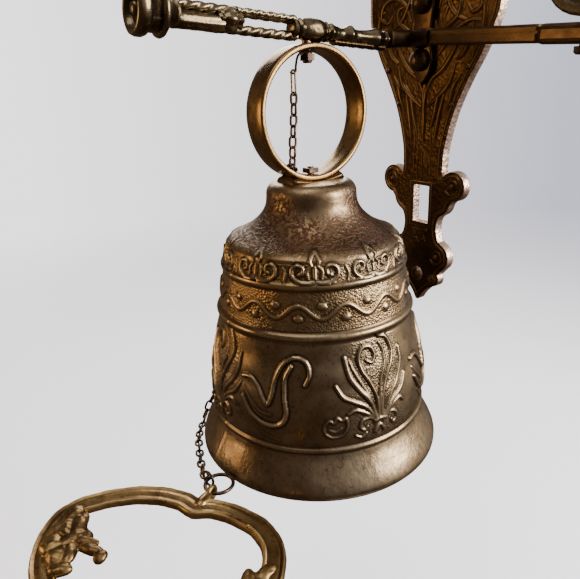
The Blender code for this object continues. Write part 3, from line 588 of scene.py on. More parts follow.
def bell_relief(radius, up, angle):
    """Raised ornament on the bell: height, shade beside strokes and stippled ground."""
    height = np.zeros_like(up)
    shade = np.zeros_like(up)

    def place(strokes, centres, low, high, reach):
        for centre in centres:
            turn = wrapped(angle, centre)
            near = (np.abs(turn) < reach) & between(up, low, high)
            rise, dark = stroke_field(np.radians(turn[near]) * radius[near], up[near], strokes)
            height[near] = np.maximum(height[near], rise)
            shade[near] = np.maximum(shade[near], dark)

    place(PALMETTE, PALMETTE_ANGLES, 22.0, 68.0, 27.0)
    place(SCROLL, SCROLL_ANGLES, 22.0, 65.0, 24.0)
    place(SHELL, SHELL_ANGLES, 24.0, 39.0, 9.0)
    unit = 360.0 / FRIEZE_COUNT
    place(FRIEZE, [unit * k + FRIEZE_START for k in range(FRIEZE_COUNT)], 90.8, 103.6, unit * 0.62)
    band = between(up, BAND_LOW, BAND_HIGH)
    rise, dark = vine_band(radius, up, np.radians(angle))
    height[band] = np.maximum(height[band], rise[band])
    shade[band] = np.maximum(shade[band], dark[band])
    ground = between(up, BAND_LOW, BAND_HIGH + 0.2) * 0.8 + between(up, 91.5, 98.5) * 0.9
    palm = np.zeros_like(up)
    for centre in PALMETTE_ANGLES:
        palm = np.maximum(palm, np.exp(-(wrapped(angle, centre) / 15.0) ** 4))
    ground = ground + palm * between(up, 24.0, 66.0) * 0.8
    return height, shade, ground


def shell_faces(rows, columns):
    """Quads between rows of vertices, with fans to the inner and outer middle vertices after them."""
    faces = []
    for i in range(rows - 1):
        for j in range(columns):
            k = (j + 1) % columns
            faces.append((i * columns + j, (i + 1) * columns + j, (i + 1) * columns + k, i * columns + k))
    last = (rows - 1) * columns
    centre_in = rows * columns
    centre_out = centre_in + 1
    for j in range(columns):
        k = (j + 1) % columns
        faces.append((last + j, centre_in, last + k))
        faces.append((centre_out, j, k))
    return faces


def build_bell():
    """The bell as one dense turned shell whose outer side carries the relief."""
    outer = bell_profile()
    inner = bell_inside()
    columns = BELL_COLUMNS
    angle = np.linspace(-180.0, 180.0, columns, endpoint=False)
    radius = np.array([p[0] for p in outer])[:, None] * np.ones((1, columns))
    up = np.array([p[1] for p in outer])[:, None] * np.ones((1, columns))
    degrees = np.ones((len(outer), 1)) * angle[None, :]
    height, shade, ground = bell_relief(radius, up, degrees)
    seam = sum(np.exp(-(wrapped(degrees, centre) * math.pi / 180.0 * radius / 0.5) ** 2) * 0.35
               for centre in SEAM_ANGLES)
    seam = seam * between(up, 2.0, SHOULDER_FOOT)
    theta = np.radians(degrees)
    wander = 0.10 * np.sin(3 * theta + up * 0.11) + 0.07 * np.sin(7 * theta - up * 0.23 + 1.3)
    outside = radius + height * 0.98 + seam + wander * (up < SHOULDER_FOOT)
    rows = [(outside[i] * np.cos(theta[i]), outside[i] * np.sin(theta[i]), up[i]) for i in range(len(outer))]
    flat = np.radians(angle)
    for r, z in inner[:-1]:
        rows.append((r * np.cos(flat), r * np.sin(flat), np.full(columns, z)))
    coords = np.concatenate([np.stack(row, axis=1) for row in rows])
    coords[:, 1] += BELL_Y
    coords[:, 2] += LIP_Z
    coords = np.vstack([coords, (0.0, BELL_Y, LIP_Z + inner[-1][1]), (0.0, BELL_Y, LIP_Z + CROWN_TOP)])
    mesh = bpy.data.meshes.new("bell")
    mesh.from_pydata((coords * MM).tolist(), [], shell_faces(len(rows), columns))
    beads = sum(np.exp(-((up - z) / 0.9) ** 2) for _, z, _, _ in BEADS)
    grooves = sum(np.exp(-((up - z) / 0.55) ** 2) for z in GROOVE_HEIGHTS)
    # Painted shade: dark beside the raised strokes and in the grooves, kept off the strokes' tops.
    painted_shade = np.clip(shade - height * 0.9, 0.0, 1.0) + grooves * 0.75
    for name, values in (("painted_shade", painted_shade), ("rubbed", height * 0.8 + beads * 0.55 - 0.1),
                         ("ground", ground * (height < 0.15))):
        everywhere = np.zeros(len(coords), dtype=np.float32)
        everywhere[:values.size] = np.clip(values, 0.0, 1.0).ravel()
        mesh.attributes.new(name, "FLOAT", "POINT").data.foreach_set("value", everywhere)
    mesh.shade_smooth()
    add_piece("bell", mesh, "bell", ROOT, "bell_shell")


# ---------------------------------------------------------------- loop on the bell

def build_loop():
    """Flat band bent to a ring, its outer side worn and slightly crowned, with feet cast on the crown."""
    half, wall = 6.0, 2.3
    outer, inner = RING_RADIUS, RING_RADIUS - wall
    edge = [(inner, -2.0), (inner, -half + 0.7), (inner + 0.3, -half + 0.15), (inner + 0.8, -half),
            (outer - 0.8, -half), (outer - 0.3, -half + 0.15), (outer, -half + 0.7), (outer + 0.06, -2.0)]
    section = edge + [(r, -w) for r, w in reversed(edge)]
    bm = bmesh.new()
    rings = []
    for a in full_turn(160):
        swell = 0.05 * math.sin(3 * a + 0.6) + 0.02 * math.sin(7 * a)
        rings.append([Vector((w, BELL_Y + (r + swell) * math.cos(a), RING_Z + (r + swell) * math.sin(a)))
                      for r, w in section])
    loft(bm, rings, closed_along=True)
    add_mesh("loop", bm, 60.0, "loop", ROOT, "suspension_ring")
    low = LIP_Z + CROWN_TOP - 1.6
    steps = 18
    for side in (-1, 1):
        foot = bmesh.new()
        rings = []
        for k in range(steps + 1):
            t = k / steps
            reach = 3.6 + 10.4 * t
            gap = reach * reach / (2 * outer)
            fade = 1.0 if t < 0.7 else math.sqrt(max(0.02, 1.0 - ((t - 0.7) / 0.3) ** 2))
            tall = (gap + 2.4) / 2 * fade
            wide = (6.5 + 0.7 * t) * (0.75 + 0.25 * fade)
            y = BELL_Y + side * reach
            rings.append([Vector((wide * math.cos(b), y, low + tall * (1.0 + math.sin(b))))
                          for b in full_turn(32)])
        loft(foot, rings)
        name = "loop_foot_front" if side < 0 else "loop_foot_back"
        add_mesh(name, foot, 70.0, "lacquer", ROOT)


# ---------------------------------------------------------------- chain

LINK_LENGTH = 6.1
LINK_WIDTH = 4.2
LINK_WIRE = 0.58
LINK_PITCH = 4.45
HANGING_X = -8.3

# Where the chain lies round the bell, in degrees, at heights down from the crown
DRAPE_ANGLES = ((-51.3, 206.0), (-52.4, 192.0), (-55.0, 168.0), (-80.0, 168.0), (-135.0, 192.0),
                (-165.0, 210.0), (-181.6, 222.0))


def around_bell(radius, angle, z):
    """Point at a radius and angle round the bell's axis."""
    return Vector((radius * math.cos(angle), BELL_Y + radius * math.sin(angle), z))


def drape_path():
    """Line of the chain over the crown and down the side to the lip."""
    profile = [(8.0, -51.3), (13.0, -52.1), (19.0, -54.6), (22.6, -58.0), (26.2, -64.0), (34.0, -73.0),
               (41.4, -80.4), (43.9, -85.5), (45.0, -92.0), (48.0, -111.0), (51.0, -123.5), (53.3, -138.0),
               (53.9, -152.0), (53.9, -162.0), (56.4, -169.0), (59.4, -175.2), (61.6, -181.6)]
    angles = spline(DRAPE_ANGLES, 8)
    points = []
    for radius, z in profile:
        nearest = min(angles, key=lambda entry: abs(entry[0] - z))
        points.append(around_bell(radius, math.radians(nearest[1]), z))
    return spline(points, 4)


def tail_path():
    """Line of the chain from the lip round to the jump rings."""
    angles = [227, 234, 241, 248, 255, 261, 267, 273]
    radii = [60.8, 60.6, 60.6, 60.8, 61.4, 62.6, 64.2, 66.2]
    heights = [-182.4, -182.0, -181.4, -180.8, -180.4, -180.0, -179.6, -179.2]
    return spline([around_bell(r, math.radians(a), z) for a, r, z in zip(angles, radii, heights)], 4)


def link(bm, centre, direction, flat, length=LINK_LENGTH, width=LINK_WIDTH, wire=LINK_WIRE, lean=0.0):
    """One welded oval link; lean turns it a little about its own length."""
    forward = Vector(direction).normalized()
    normal = (Vector(flat) - forward * Vector(flat).dot(forward)).normalized()
    normal = Matrix.Rotation(lean, 3, forward) @ normal
    across = normal.cross(forward)
    straight = (length - width) / 2
    half = width / 2 - wire
    outline = []
    for end in (1, -1):
        for k in range(9):
            a = math.radians(-90 + 180 * k / 8)
            outline.append((end * (straight + half * math.cos(a)), end * half * math.sin(a)))
    tube(bm, [Vector(centre) + forward * u + across * v for u, v in outline], wire, 10, closed=True)


def walk(path, start, pitch, count):
    """Middle and direction of each link on a path, at equal steps along it."""
    lengths = [0.0]
    for a, b in zip(path, path[1:]):
        lengths.append(lengths[-1] + (b - a).length)

    def point_at(distance):
        for k in range(len(path) - 1):
            if distance <= lengths[k + 1] or k == len(path) - 2:
                t = (distance - lengths[k]) / (lengths[k + 1] - lengths[k])
                return path[k].lerp(path[k + 1], t)
        return path[-1]

    places = []
    for k in range(count):
        middle = start + k * pitch
        before = point_at(max(middle - pitch / 2, 0.0))
        places.append((point_at(middle), point_at(middle + pitch / 2) - before))
    return places


def from_axis(centre):
    return Vector((centre.x, centre.y - BELL_Y, 0.0)).normalized()


def outward(centre):
    return from_axis(centre) + Vector((0, 0, 0.35))


def sideways(centre):
    away = from_axis(centre)
    return Vector((-away.y, away.x, 0.0))


def build_chain(name, path, start, count, turned, flats, body, node, seed):
    """Links along a path, facing the two ways in flats by turns."""
    dice = random.Random(seed)
    bm = bmesh.new()
    for k, (centre, direction) in enumerate(walk(path, start, LINK_PITCH, count)):
        flat = flats[0] if (k + turned) % 2 else flats[1]
        if callable(flat):
            flat = flat(centre)
        link(bm, centre, direction, flat, lean=dice.uniform(-0.22, 0.22))
    add_mesh(name, bm, 60.0, "steel", body, node)


def build_chains():
    hanging = [Vector((HANGING_X, y, z)) for y, z in ((-75.5, -20), (-76.0, -30), (-77.0, -40), (-78.0, -54))]
    build_chain("hanging_links", hanging, 2.7, 7, 1, ((1, 0, 0), (0, 1, 0)),
                "upper_chain", "hanging_chain", 3)
    build_chain("draped_links", drape_path(), 2.0, 38, 0, (outward, sideways),
                "bell_chain", "draped_chain", 5)
    build_chain("tail_links", tail_path(), 0.3, 12, 1, (outward, (0, 0, 1)), "tail", "tail_chain", 8)
    bm = bmesh.new()
    link(bm, (HANGING_X, BELL_Y - 1.5, -16.3), (0, 0, -1), (0, 1, 0), 11.0, 3.6, 0.45)
    add_mesh("top_link", bm, 60.0, "arm", "upper_chain", "long_link")


# ---------------------------------------------------------------- wall plate

def plate_outline():
    """Whole outline of the plate as (x, z), in order round it, the same above and below the middle."""
    side = spline([(39.0, 0), (38.3, 12), (31.6, 27), (24.8, 38.5), (18.0, 52.5), (13.6, 68), (12.8, 78)], 6)
    quarter = [tuple(p) for p in side]
    quarter += arc((19.6, 86.5), 7.2, 205, 445, 30)
    quarter += [tuple(p) for p in spline([(18.6, 95.6), (17.4, 98.6), (15.4, 100.8), (12.2, 103.0),
                                          (10.8, 107.5), (11.4, 112.5), (12.8, 115.4)], 4)]
    quarter += arc((12.1, 123.5), 7.4, -62, 52, 14)
    quarter += arc((9.8, 135.6), 4.3, -35, 75, 9)
    quarter += [tuple(p) for p in spline([(7.0, 142.0), (3.6, 145.5), (1.2, 149.2)], 3)]
    lower = [(x, PLATE_MID_Z - d) for x, d in quarter]
    lower = lower + [(0.0, PLATE_MID_Z - 150.0)] + [(-x, z) for x, z in reversed(lower)]
    upper = [(x, 2 * PLATE_MID_Z - z) for x, z in reversed(lower)]
    return lower[:-1] + upper[:-1]


def flat_curve(name, loops, half, bevel):
    """Filled 2D curve, extruded and with rounded edges, as a mesh standing in the XZ plane."""
    data = bpy.data.curves.new(name, "CURVE")
    data.dimensions = "2D"
    data.fill_mode = "BOTH"
    data.extrude = half - bevel
    data.bevel_depth = bevel
    data.bevel_resolution = 3
    data.offset = -bevel
    for points in loops:
        line = data.splines.new("POLY")
        line.points.add(len(points) - 1)
        for point, (x, z) in zip(line.points, points):
            point.co = (x, z, 0.0, 1.0)
        line.use_cyclic_u = True
    holder = bpy.data.objects.new(name, data)
    bpy.context.scene.collection.objects.link(holder)
    bpy.context.view_layer.update()
    mesh = bpy.data.meshes.new_from_object(holder.evaluated_get(bpy.context.evaluated_depsgraph_get()))
    bpy.data.objects.remove(holder, do_unlink=True)
    bm = bmesh.new()
    bm.from_mesh(mesh)
    bmesh.ops.remove_doubles(bm, verts=bm.verts, dist=0.0001)
    bmesh.ops.rotate(bm, matrix=Matrix.Rotation(math.radians(90), 3, "X"), verts=bm.verts)
    bmesh.ops.translate(bm, vec=(0, PLATE_FRONT / 2, 0), verts=bm.verts)
    return bm


def inset(points, distance):
    """Closed outline moved inwards by a distance, point by point."""
    result = []
    count = len(points)
    for k in range(count):
        before = Vector(points[k - 1])
        after = Vector(points[(k + 1) % count])
        run = after - before
        normal = Vector((run.y, -run.x)).normalized()
        result.append(Vector(points[k]) + normal * distance)
    return result


def relief_tube(bm, points, radius, sink, flip, mirror=1, radii=None):
    """Raised moulding on the plate's face; points are (x, distance from the plate's middle)."""
    path = [(mirror * x, PLATE_FRONT + radius * sink, PLATE_MID_Z - flip * d) for x, d in points]
    tube(bm, path, radius, 10, radii=radii)


def spiral(centre, size):
    """Scroll that winds inwards round a centre."""
    steps = 30
    points = []
    for k in range(steps + 1):
        t = k / steps
        a = math.radians(150) - math.tau * 1.4 * t
        r = size * (1.0 - 0.82 * t)
        points.append((centre[0] + r * math.cos(a), centre[1] + r * math.sin(a)))
    return points


def tapered(count, radius):
    """Radii along a stroke, full in the middle and thin at its ends."""
    return [radius * (0.35 + 0.65 * math.sin(math.pi * (0.12 + 0.8 * k / (count - 1)))) for k in range(count)]


LEAVES = [
    [(0.0, 66), (-0.4, 58), (0.0, 50), (0.6, 44), (0.0, 38)],
    [(12.0, 44), (10.0, 52), (8.4, 60), (7.6, 68)],
    [(26, 30), (29.5, 23), (31.6, 15), (31.0, 8), (27.6, 6.0)],
    [(21.0, 36), (17.4, 41), (15.6, 47), (13.4, 52)],
    [(8.0, 20), (12.4, 15.6), (17.6, 12.0), (18.6, 6.6), (14.6, 5.0)],
    [(0.0, 30), (4.0, 22), (4.6, 14), (0.0, 9)],
    [(0.0, 46), (4.0, 38), (11.0, 33), (17.5, 24), (21.0, 13)],
    [(2.0, 50), (8.0, 46), (14.5, 40), (18.0, 31)],
    [(4.0, 62), (6.6, 54), (8.6, 46), (12.6, 40.5)],
    [(4.6, 30), (10.0, 24.5), (16.0, 18), (24.0, 14.5), (30.0, 15.0)],
    [(10.0, 12), (14.0, 5), (21.0, 1), (28.0, 3), (30.0, 9), (25.5, 11.4), (22.6, 8.4)],
    [(6.6, 8), (11.0, -3), (16.0, -11), (24.0, -15)],
    [(18.0, 30), (22.0, 27.0), (25.0, 21), (26.4, 14)],
]
PANEL_PAIRS = [
    [(5.6, 82), (5.2, 66), (5.6, 54)],
    [(0.0, 118), (2.4, 115.4), (4.2, 116.6), (3.0, 113), (5.0, 110.4), (0.0, 111.2)],
]
PANEL = [
    [(0.0, 84), (0.0, 70), (0.0, 58)],
    [(-3.2, 84), (-3.0, 76), (0.0, 70), (3.0, 76), (3.2, 84)],
] + PANEL_PAIRS + [flipped(stroke) for stroke in PANEL_PAIRS]

# Scrolls in the plate's lobes: middle, size of the scroll, radius of the knob in it
LOBE_SCROLLS = (((19.6, 86.5), 4.6, 1.7), ((12.0, 123.4), 4.4, 1.6), ((9.2, 135.4), 2.2, 0.9))
LEAF_KNOBS = (((24.6, 33.0), 1.5), ((16.8, 49.0), 1.2))
SLOT_HALF = 5.1
SLOT_NEAR = 88.0
SLOT_FAR = 107.0
SLOT_FRAME = 1.8


def box_line(half, near, far):
    """Corners of a box across the plate's middle."""
    return [(-half, near), (half, near), (half, far), (-half, far)]


def build_plate():
    """Cast plate with two slots, a raised border, leaf strokes, scrolls and knobs."""
    outline = plate_outline()
    slots = [box_line(SLOT_HALF, *sorted(PLATE_MID_Z + side * d for d in (SLOT_NEAR, SLOT_FAR)))
             for side in (-1, 1)]
    bm = flat_curve("plate", [outline] + slots, -PLATE_FRONT / 2, 0.55)
    add_mesh("plate", bm, 30.0, "plate", ROOT, "wall_plate")

    border = bmesh.new()
    rail = inset(outline, 2.0)
    tube(border, [(p.x, PLATE_FRONT + 0.35, p.y) for p in rail], 0.95, 8, closed=True)
    add_mesh("plate_border", border, 60.0, "relief", ROOT)

    leaves = bmesh.new()
    rim = box_line(SLOT_HALF + SLOT_FRAME, SLOT_NEAR - SLOT_FRAME, SLOT_FAR + SLOT_FRAME)
    for flip in (-1, 1):
        for mirror in (-1, 1):
            for stroke in LEAVES:
                points = spline(stroke, 6)
                relief_tube(leaves, points, 1.2, 0.35, flip, mirror, tapered(len(points), 1.5))
            for centre, size, _ in LOBE_SCROLLS:
                relief_tube(leaves, spiral(centre, size), 0.8, 0.4, flip, mirror)
        for stroke in PANEL:
            relief_tube(leaves, spline(stroke, 6), 0.6, 0.4, flip)
        relief_tube(leaves, rim + rim[:1], 0.6, 0.3, flip)
    add_mesh("plate_leaves", leaves, 60.0, "relief", ROOT)

    knobs = bmesh.new()
    for flip in (-1, 1):
        for mirror in (-1, 1):
            for (x, d), r in tuple((place, knob) for place, _, knob in LOBE_SCROLLS) + LEAF_KNOBS:
                spot = Matrix.Translation((mirror * x, PLATE_FRONT - 0.1, PLATE_MID_Z - flip * d))
                bmesh.ops.create_uvsphere(knobs, u_segments=16, v_segments=10, radius=r, matrix=spot)
    add_mesh("plate_knobs", knobs, 60.0, "relief", ROOT)


# ---------------------------------------------------------------- arms

ARM_SLOPE = 0.0885
DISC_Y = -131.35


def arm_z(y):
    """Height of the arm's middle line, which rises away from the wall."""
    return -0.6 + ARM_SLOPE * (-31.0 - y)


def on_arm(y, offset=0.0):
    """Matrix for a turned piece that starts at y and runs out along the arm."""
    return along((0, y, arm_z(y) + offset), (0, -1, ARM_SLOPE))


def arm_point(y, x, up):
    return Vector((x, y, arm_z(y) + up))


def build_rails():
    """Two roped rails with a window between them, a knot, and a front tube that opens above."""
    bm = bmesh.new()
    rope(bm, arm_point(-79.4, 0, -2.9), arm_point(-131.0, 0, -3.0), 1.75)
    rope(bm, arm_point(-79.4, 0, 3.0), arm_point(-131.0, 0, 3.1), 1.7)
    for side in (-1, 1):
        rope(bm, arm_point(-80.0, side * 1.6, 3.2), arm_point(-106.0, side * 1.6, 3.4), 0.9, pitch=3.0)
    add_mesh("rails", bm, 60.0, "arm", ROOT, "arm_rails")
    heel = [(0, 2.6), (2.6, 2.6), (3.6, 2.0), (3.9, 1.2), (3.6, 0.3), (2.8, 0), (0, 0)]
    lathe("rail_heel", heel, on_arm(-79.4))
    knot = [(0, 10.4), (2.6, 10.3), (3.4, 9.4), (3.0, 8.2), (4.1, 7.0), (4.5, 5.2), (4.1, 3.4), (3.0, 2.2),
            (3.4, 1.0), (2.6, 0.1), (0, 0)]
    lathe("rail_knot", knot, on_arm(-103.6), wobble=lambda a, r, z: 0.35 * math.cos(6 * a))
    tube_line = [(0, 20.4), (2.9, 20.3), (3.3, 19.6), (3.2, 16.0), (3.0, 8.0), (3.2, 2.0), (2.9, 0.2), (0, 0)]
    lathe("front_tube", tube_line, on_arm(-111.6, -1.7), wobble=lambda a, r, z: 0.12 * math.cos(8 * a + z))
    lathe("rail_toe", [(0, 2.0), (4.2, 1.9), (4.8, 1.2), (4.5, 0.3), (3.6, 0), (0, 0)], on_arm(-129.1))


def build_strap():
    """Cast strap on the plate with leaf-shaped ends, and the neck that both arms grow from."""
    half = [(0.0, -20.0), (2.4, -18.0), (5.0, -14.5), (6.2, -9.2), (5.4, -4.5), (4.8, 0.5), (5.2, 7.0),
            (6.2, 14.0), (5.0, 20.0), (2.4, 24.0), (0.0, 26.5)]
    side = [tuple(p) for p in spline(half, 5)]
    outline = side + [(-x, z) for x, z in reversed(side[1:-1])]
    bm = flat_curve("strap", [outline], 1.7, 0.8)
    bmesh.ops.translate(bm, vec=(0, PLATE_FRONT / 2 - 1.6, 0), verts=bm.verts)
    add_mesh("strap", bm, 40.0, "lacquer", ROOT, "arm_bracket")
    neck = bmesh.new()
    steps = 16
    rings = []
    for k in range(steps + 1):
        t = k / steps
        wide = 4.6 - 0.78 * math.sin(math.pi * t)
        tall = 4.6 - 0.75 * math.sin(math.pi * min(1.0, t * 1.1)) - 0.6 * t
        rings.append([Vector((wide * squared(math.cos(a), 0.6), -6.0 - 25.2 * t,
                              tall * squared(math.sin(a), 0.6))) for a in full_turn(28)])
    loft(neck, rings)
    add_mesh("strap_neck", neck, 50.0, "lacquer", ROOT)
    turn = bmesh.new()
    steps = 12
    rings = []
    for k in range(steps + 1):
        t = k / steps
        tall = 3.7 - 0.5 * t
        rings.append([Vector((-2.0 + 15.0 * t, SIDE_Y + 3.5 * squared(math.cos(a), 0.5),
                              tall * squared(math.sin(a), 0.5))) for a in full_turn(28)])
    loft(turn, rings)
    add_mesh("strap_turn", turn, 50.0, "lacquer", ROOT)


def build_root():
    """Turned baluster between the neck and the boss, with a rippled strap under it."""
    outline = [tuple(p) for p in spline([
        (2.8, 32.8), (3.7, 31.6), (3.0, 29.8), (2.4, 26.0), (2.5, 24.6), (3.3, 22.8), (3.9, 21.4),
        (3.3, 20.0), (2.6, 18.3), (2.7, 14.0), (3.2, 10.6), (4.1, 7.6), (4.1, 6.2), (3.4, 4.6), (3.0, 2.4),
        (3.6, 1.2), (3.4, 0.0)], 4)]
    lathe("baluster", [(0, 32.8)] + outline + [(0, 0)], on_arm(-31.2), node="arm_root",
          wobble=lambda a, r, z: 0.14 * math.cos(6 * a) * (r > 2.6))
    bm = bmesh.new()
    steps = 90
    rings = []
    for k in range(steps + 1):
        y = -33.0 - 28.0 * k / steps
        ripple = 0.22 * math.sin(k * 1.1) + 0.12 * math.sin(k * 0.37)
        rings.append([arm_point(y, 2.3 * math.cos(a), -3.3 + (1.15 + ripple) * math.sin(a))
                      for a in full_turn(20)])
    loft(bm, rings)
    add_mesh("strap_under", bm, 50.0, "lacquer", ROOT)


def build_boss():
    """Barrel on the arm that the bell hangs from."""
    outline = [tuple(p) for p in spline([
        (3.2, 14.6), (3.9, 13.6), (3.6, 12.6), (4.2, 10.8), (4.75, 8.0), (4.7, 5.2), (4.0, 2.8), (3.4, 1.7),
        (3.9, 0.9), (3.4, 0.0)], 5)]
    lathe("boss", [(0, 14.6)] + outline + [(0, 0)], on_arm(-64.35), node="bell_boss",
          wobble=lambda a, r, z: 0.1 * math.cos(5 * a + z * 0.4))


def build_arm_end():
    """End disc with a sunk, knobbed face, a slot behind it, and the trumpet flange."""
    face = 14.2
    disc = [(r, face - sunk) for r, sunk in (
        (0, 0.4), (1.5, 0.5), (2.2, 1.2), (2.4, 2.4), (5.2, 2.5), (5.8, 1.7), (6.6, 0.3), (7.4, 0.0),
        (8.3, 0.4), (8.8, 1.6), (8.8, 3.4), (8.3, 4.6), (7.4, 5.4), (0, 5.6))]
    lathe("end_disc", disc, on_arm(DISC_Y), node="arm_end", angle=50.0)
    trumpet = [(0, 5.3), (7.7, 5.3), (8.5, 4.8), (8.7, 4.0), (8.3, 3.2), (7.2, 2.4), (5.8, 1.5), (5.0, 0.5),
               (4.6, 0.0), (0, 0)]
    lathe("trumpet", trumpet, on_arm(DISC_Y), angle=50.0)
    bm = bmesh.new()
    rings = []
    for k in range(7):
        y = -136.2 - 4.2 * k / 6
        rings.append([arm_point(y, 6.0 * math.cos(a), 6.0 * math.sin(a) - 1.2)
                      for a in [math.radians(195 + 150 * j / 24) for j in range(25)]])
    loft(bm, rings)
    add_mesh("end_neck", bm, 50.0, "arm", ROOT)


# ---------------------------------------------------------------- pull

HANDLE_ANGLE = math.radians(-60)
HANDLE_DIP = Vector((19.6, -148.8, -178.0))
EYE_V = -6.6

# Places on the pull are u across, v away from the chain and w above its plane
PULL_LINE = [(0.0, 4.2), (5.0, 1.6), (14.0, 0.6), (27.0, 2.6), (36.0, 8.0), (41.0, 15.0), (44.0, 25.0),
             (42.0, 37.0), (34.0, 50.0), (20.0, 60.0), (2.0, 65.0), (-16.0, 62.6), (-30.0, 56.0),
             (-41.0, 46.0), (-47.6, 33.0), (-47.0, 24.0), (-41.0, 16.0), (-31.0, 8.4), (-20.0, 3.8),
             (-9.0, 2.4)]


def pull_place(u, v, w=0.0):
    away = Vector((math.cos(HANDLE_ANGLE), math.sin(HANDLE_ANGLE), 0))
    across = Vector((-away.y, away.x, 0))
    return HANDLE_DIP + away * v + across * u + Vector((0, 0, w))


def pull_outline():
    """Middle line of the band, closed, starting at the dip by the shank."""
    return spline(PULL_LINE + PULL_LINE[:1], 8)[:-1]


def build_pull_frame():
    """Cast frame of the pull: a broad flat band with raised edges, an engraved line and a soft rib."""
    section = [(-4.4, -1.2), (-4.3, 0.6), (-3.8, 1.5), (-3.1, 1.7), (-2.5, 1.25), (-1.4, 1.3), (0.2, 1.75),
               (1.7, 1.6), (2.4, 1.2), (2.9, 1.5), (3.6, 1.8), (4.2, 1.2), (4.5, 0.0), (4.2, -1.4),
               (2.6, -2.1), (0.0, -2.3), (-2.8, -2.0)]
    points = pull_outline()
    count = len(points)
    bm = bmesh.new()
    rings = []
    for k in range(count):
        run = points[(k + 1) % count] - points[k - 1]
        normal = Vector((run.y, -run.x)).normalized()
        ripple = 0.16 * math.sin(k * 0.83) + 0.10 * math.sin(k * 2.1)
        ring = []
        for across, up in section:
            edge = ripple * 0.5 * (abs(across) > 3.0)
            spot = points[k] + normal * (across + edge)
            ring.append(pull_place(spot.x, spot.y, up + ripple * 0.3 * (up > 0)))
        rings.append(ring)
    loft(bm, rings, closed_along=True)
    add_mesh("pull_frame", bm, 60.0, "pull", "pull", "pull_handle")


def build_pull_shank():
    """Neck of the pull and the eye that the large ring goes through."""
    bm = bmesh.new()
    path = [pull_place(0, v) for v in (4.8, 2.8, 0.8, -1.2, -3.0, -4.7)]
    tube(bm, path, 2.8, 20, radii=[1.2, 2.8, 3.1, 2.8, 2.7, 2.2])
    eye = [pull_place(0, EYE_V + 2.6 * math.cos(a), 2.6 * math.sin(a)) for a in full_turn(28)]
    tube(bm, eye, 1.15, 12, closed=True)
    add_mesh("pull_shank", bm, 60.0, "pull", "pull")


def build_pull_beads():
    """Row of cast beads along the inner edge of the band's right side."""
    points = pull_outline()
    bm = bmesh.new()
    for before, point, after in zip(points, points[1:], points[2:]):
        if not (point.x > 24.0 and 2.0 < point.y < 26.0):
            continue
        run = after - before
        spot = point - Vector((run.y, -run.x)).normalized() * 3.3
        matrix = Matrix.Translation(pull_place(spot.x, spot.y, 1.5))
        bmesh.ops.create_uvsphere(bm, u_segments=12, v_segments=8, radius=0.95, matrix=matrix)
    add_mesh("pull_beads", bm, 60.0, "pull", "pull")


def build_foliage():
    """Masses of cast leaves and tendrils at both sides of the pull, fused into one skin each."""
    for name, side, lumps in (("left_leaves", -1, LEFT_LUMPS), ("right_leaves", 1, RIGHT_LUMPS)):
        bm = bmesh.new()
        for u, v, w, long, wide, tall, turn in lumps:
            spin = Matrix.Rotation(HANDLE_ANGLE - math.radians(90) + math.radians(turn), 4, "Z")
            size = Matrix.Diagonal((long, wide, tall, 1.0))
            spot = Matrix.Translation(pull_place(side * u, v, w)) @ spin @ size
            bmesh.ops.create_uvsphere(bm, u_segments=20, v_segments=12, radius=1.0, matrix=spot)
        piece = add_mesh(name, bm, 80.0, "pull", "pull")
        remesh = piece.modifiers.new("fuse", "REMESH")
        remesh.mode = "VOXEL"
        remesh.voxel_size = 0.45 * MM
        remesh.use_smooth_shade = True
        folds = bpy.data.textures.new(name + "_folds", "CLOUDS")
        folds.noise_scale = 0.0042
        ripple = piece.modifiers.new("folds", "DISPLACE")
        ripple.texture = folds
        ripple.texture_coords = "LOCAL"
        ripple.strength = 1.1 * MM
        ripple.mid_level = 0.5


# Lumps of the leaf masses: u, v and w of the middle, three half sizes, and turn in degrees
LEFT_LUMPS = [
    (42.0, 32.0, 0.2, 6.4, 9.0, 2.2, 0), (37.5, 41.0, 0.2, 7.6, 7.0, 2.4, 0),
    (33.0, 35.5, 0.4, 5.4, 5.0, 2.0, 0), (34.0, 47.5, 0.2, 6.0, 5.0, 2.2, 30),
    (43.5, 28.0, 1.0, 4.2, 6.0, 2.6, 20), (40.5, 36.0, 1.4, 6.0, 6.0, 3.0, 60),
    (36.5, 32.0, 2.2, 3.4, 6.0, 2.4, 35),
    (34.0, 38.5, 2.0, 3.4, 6.6, 2.6, -20), (38.5, 43.0, 1.6, 5.4, 5.4, 3.0, 10),
    (33.0, 45.5, 1.6, 4.6, 4.4, 2.6, 50),
    (29.0, 37.0, 2.0, 6.4, 2.4, 2.0, 14), (24.0, 38.6, 1.5, 5.6, 2.3, 1.9, 8),
    (18.6, 39.6, 1.1, 2.6, 2.8, 2.0, 0), (30.0, 43.5, 1.8, 2.8, 5.6, 2.2, 30),
    (28.0, 50.0, 1.0, 4.6, 2.8, 2.2, 30), (37.5, 38.0, 3.2, 1.8, 5.4, 1.5, 75),
]
RIGHT_LUMPS = [
    (40.5, 29.0, 0.2, 4.4, 8.6, 2.0, 0), (36.0, 40.0, 0.2, 6.0, 6.6, 2.0, 20),
    (41.0, 22.0, 0.8, 2.8, 5.6, 2.4, -20), (41.5, 31.0, 1.0, 3.4, 6.8, 2.6, 10),
    (37.0, 27.0, 1.4, 2.8, 4.8, 2.0, 25), (37.5, 37.5, 1.2, 4.2, 6.0, 2.6, 30),
    (33.0, 43.0, 1.2, 4.4, 5.2, 2.4, 50), (26.4, 46.4, 1.2, 4.8, 2.8, 2.0, 20),
    (40.0, 35.0, 2.4, 1.9, 4.6, 1.6, -15),
]


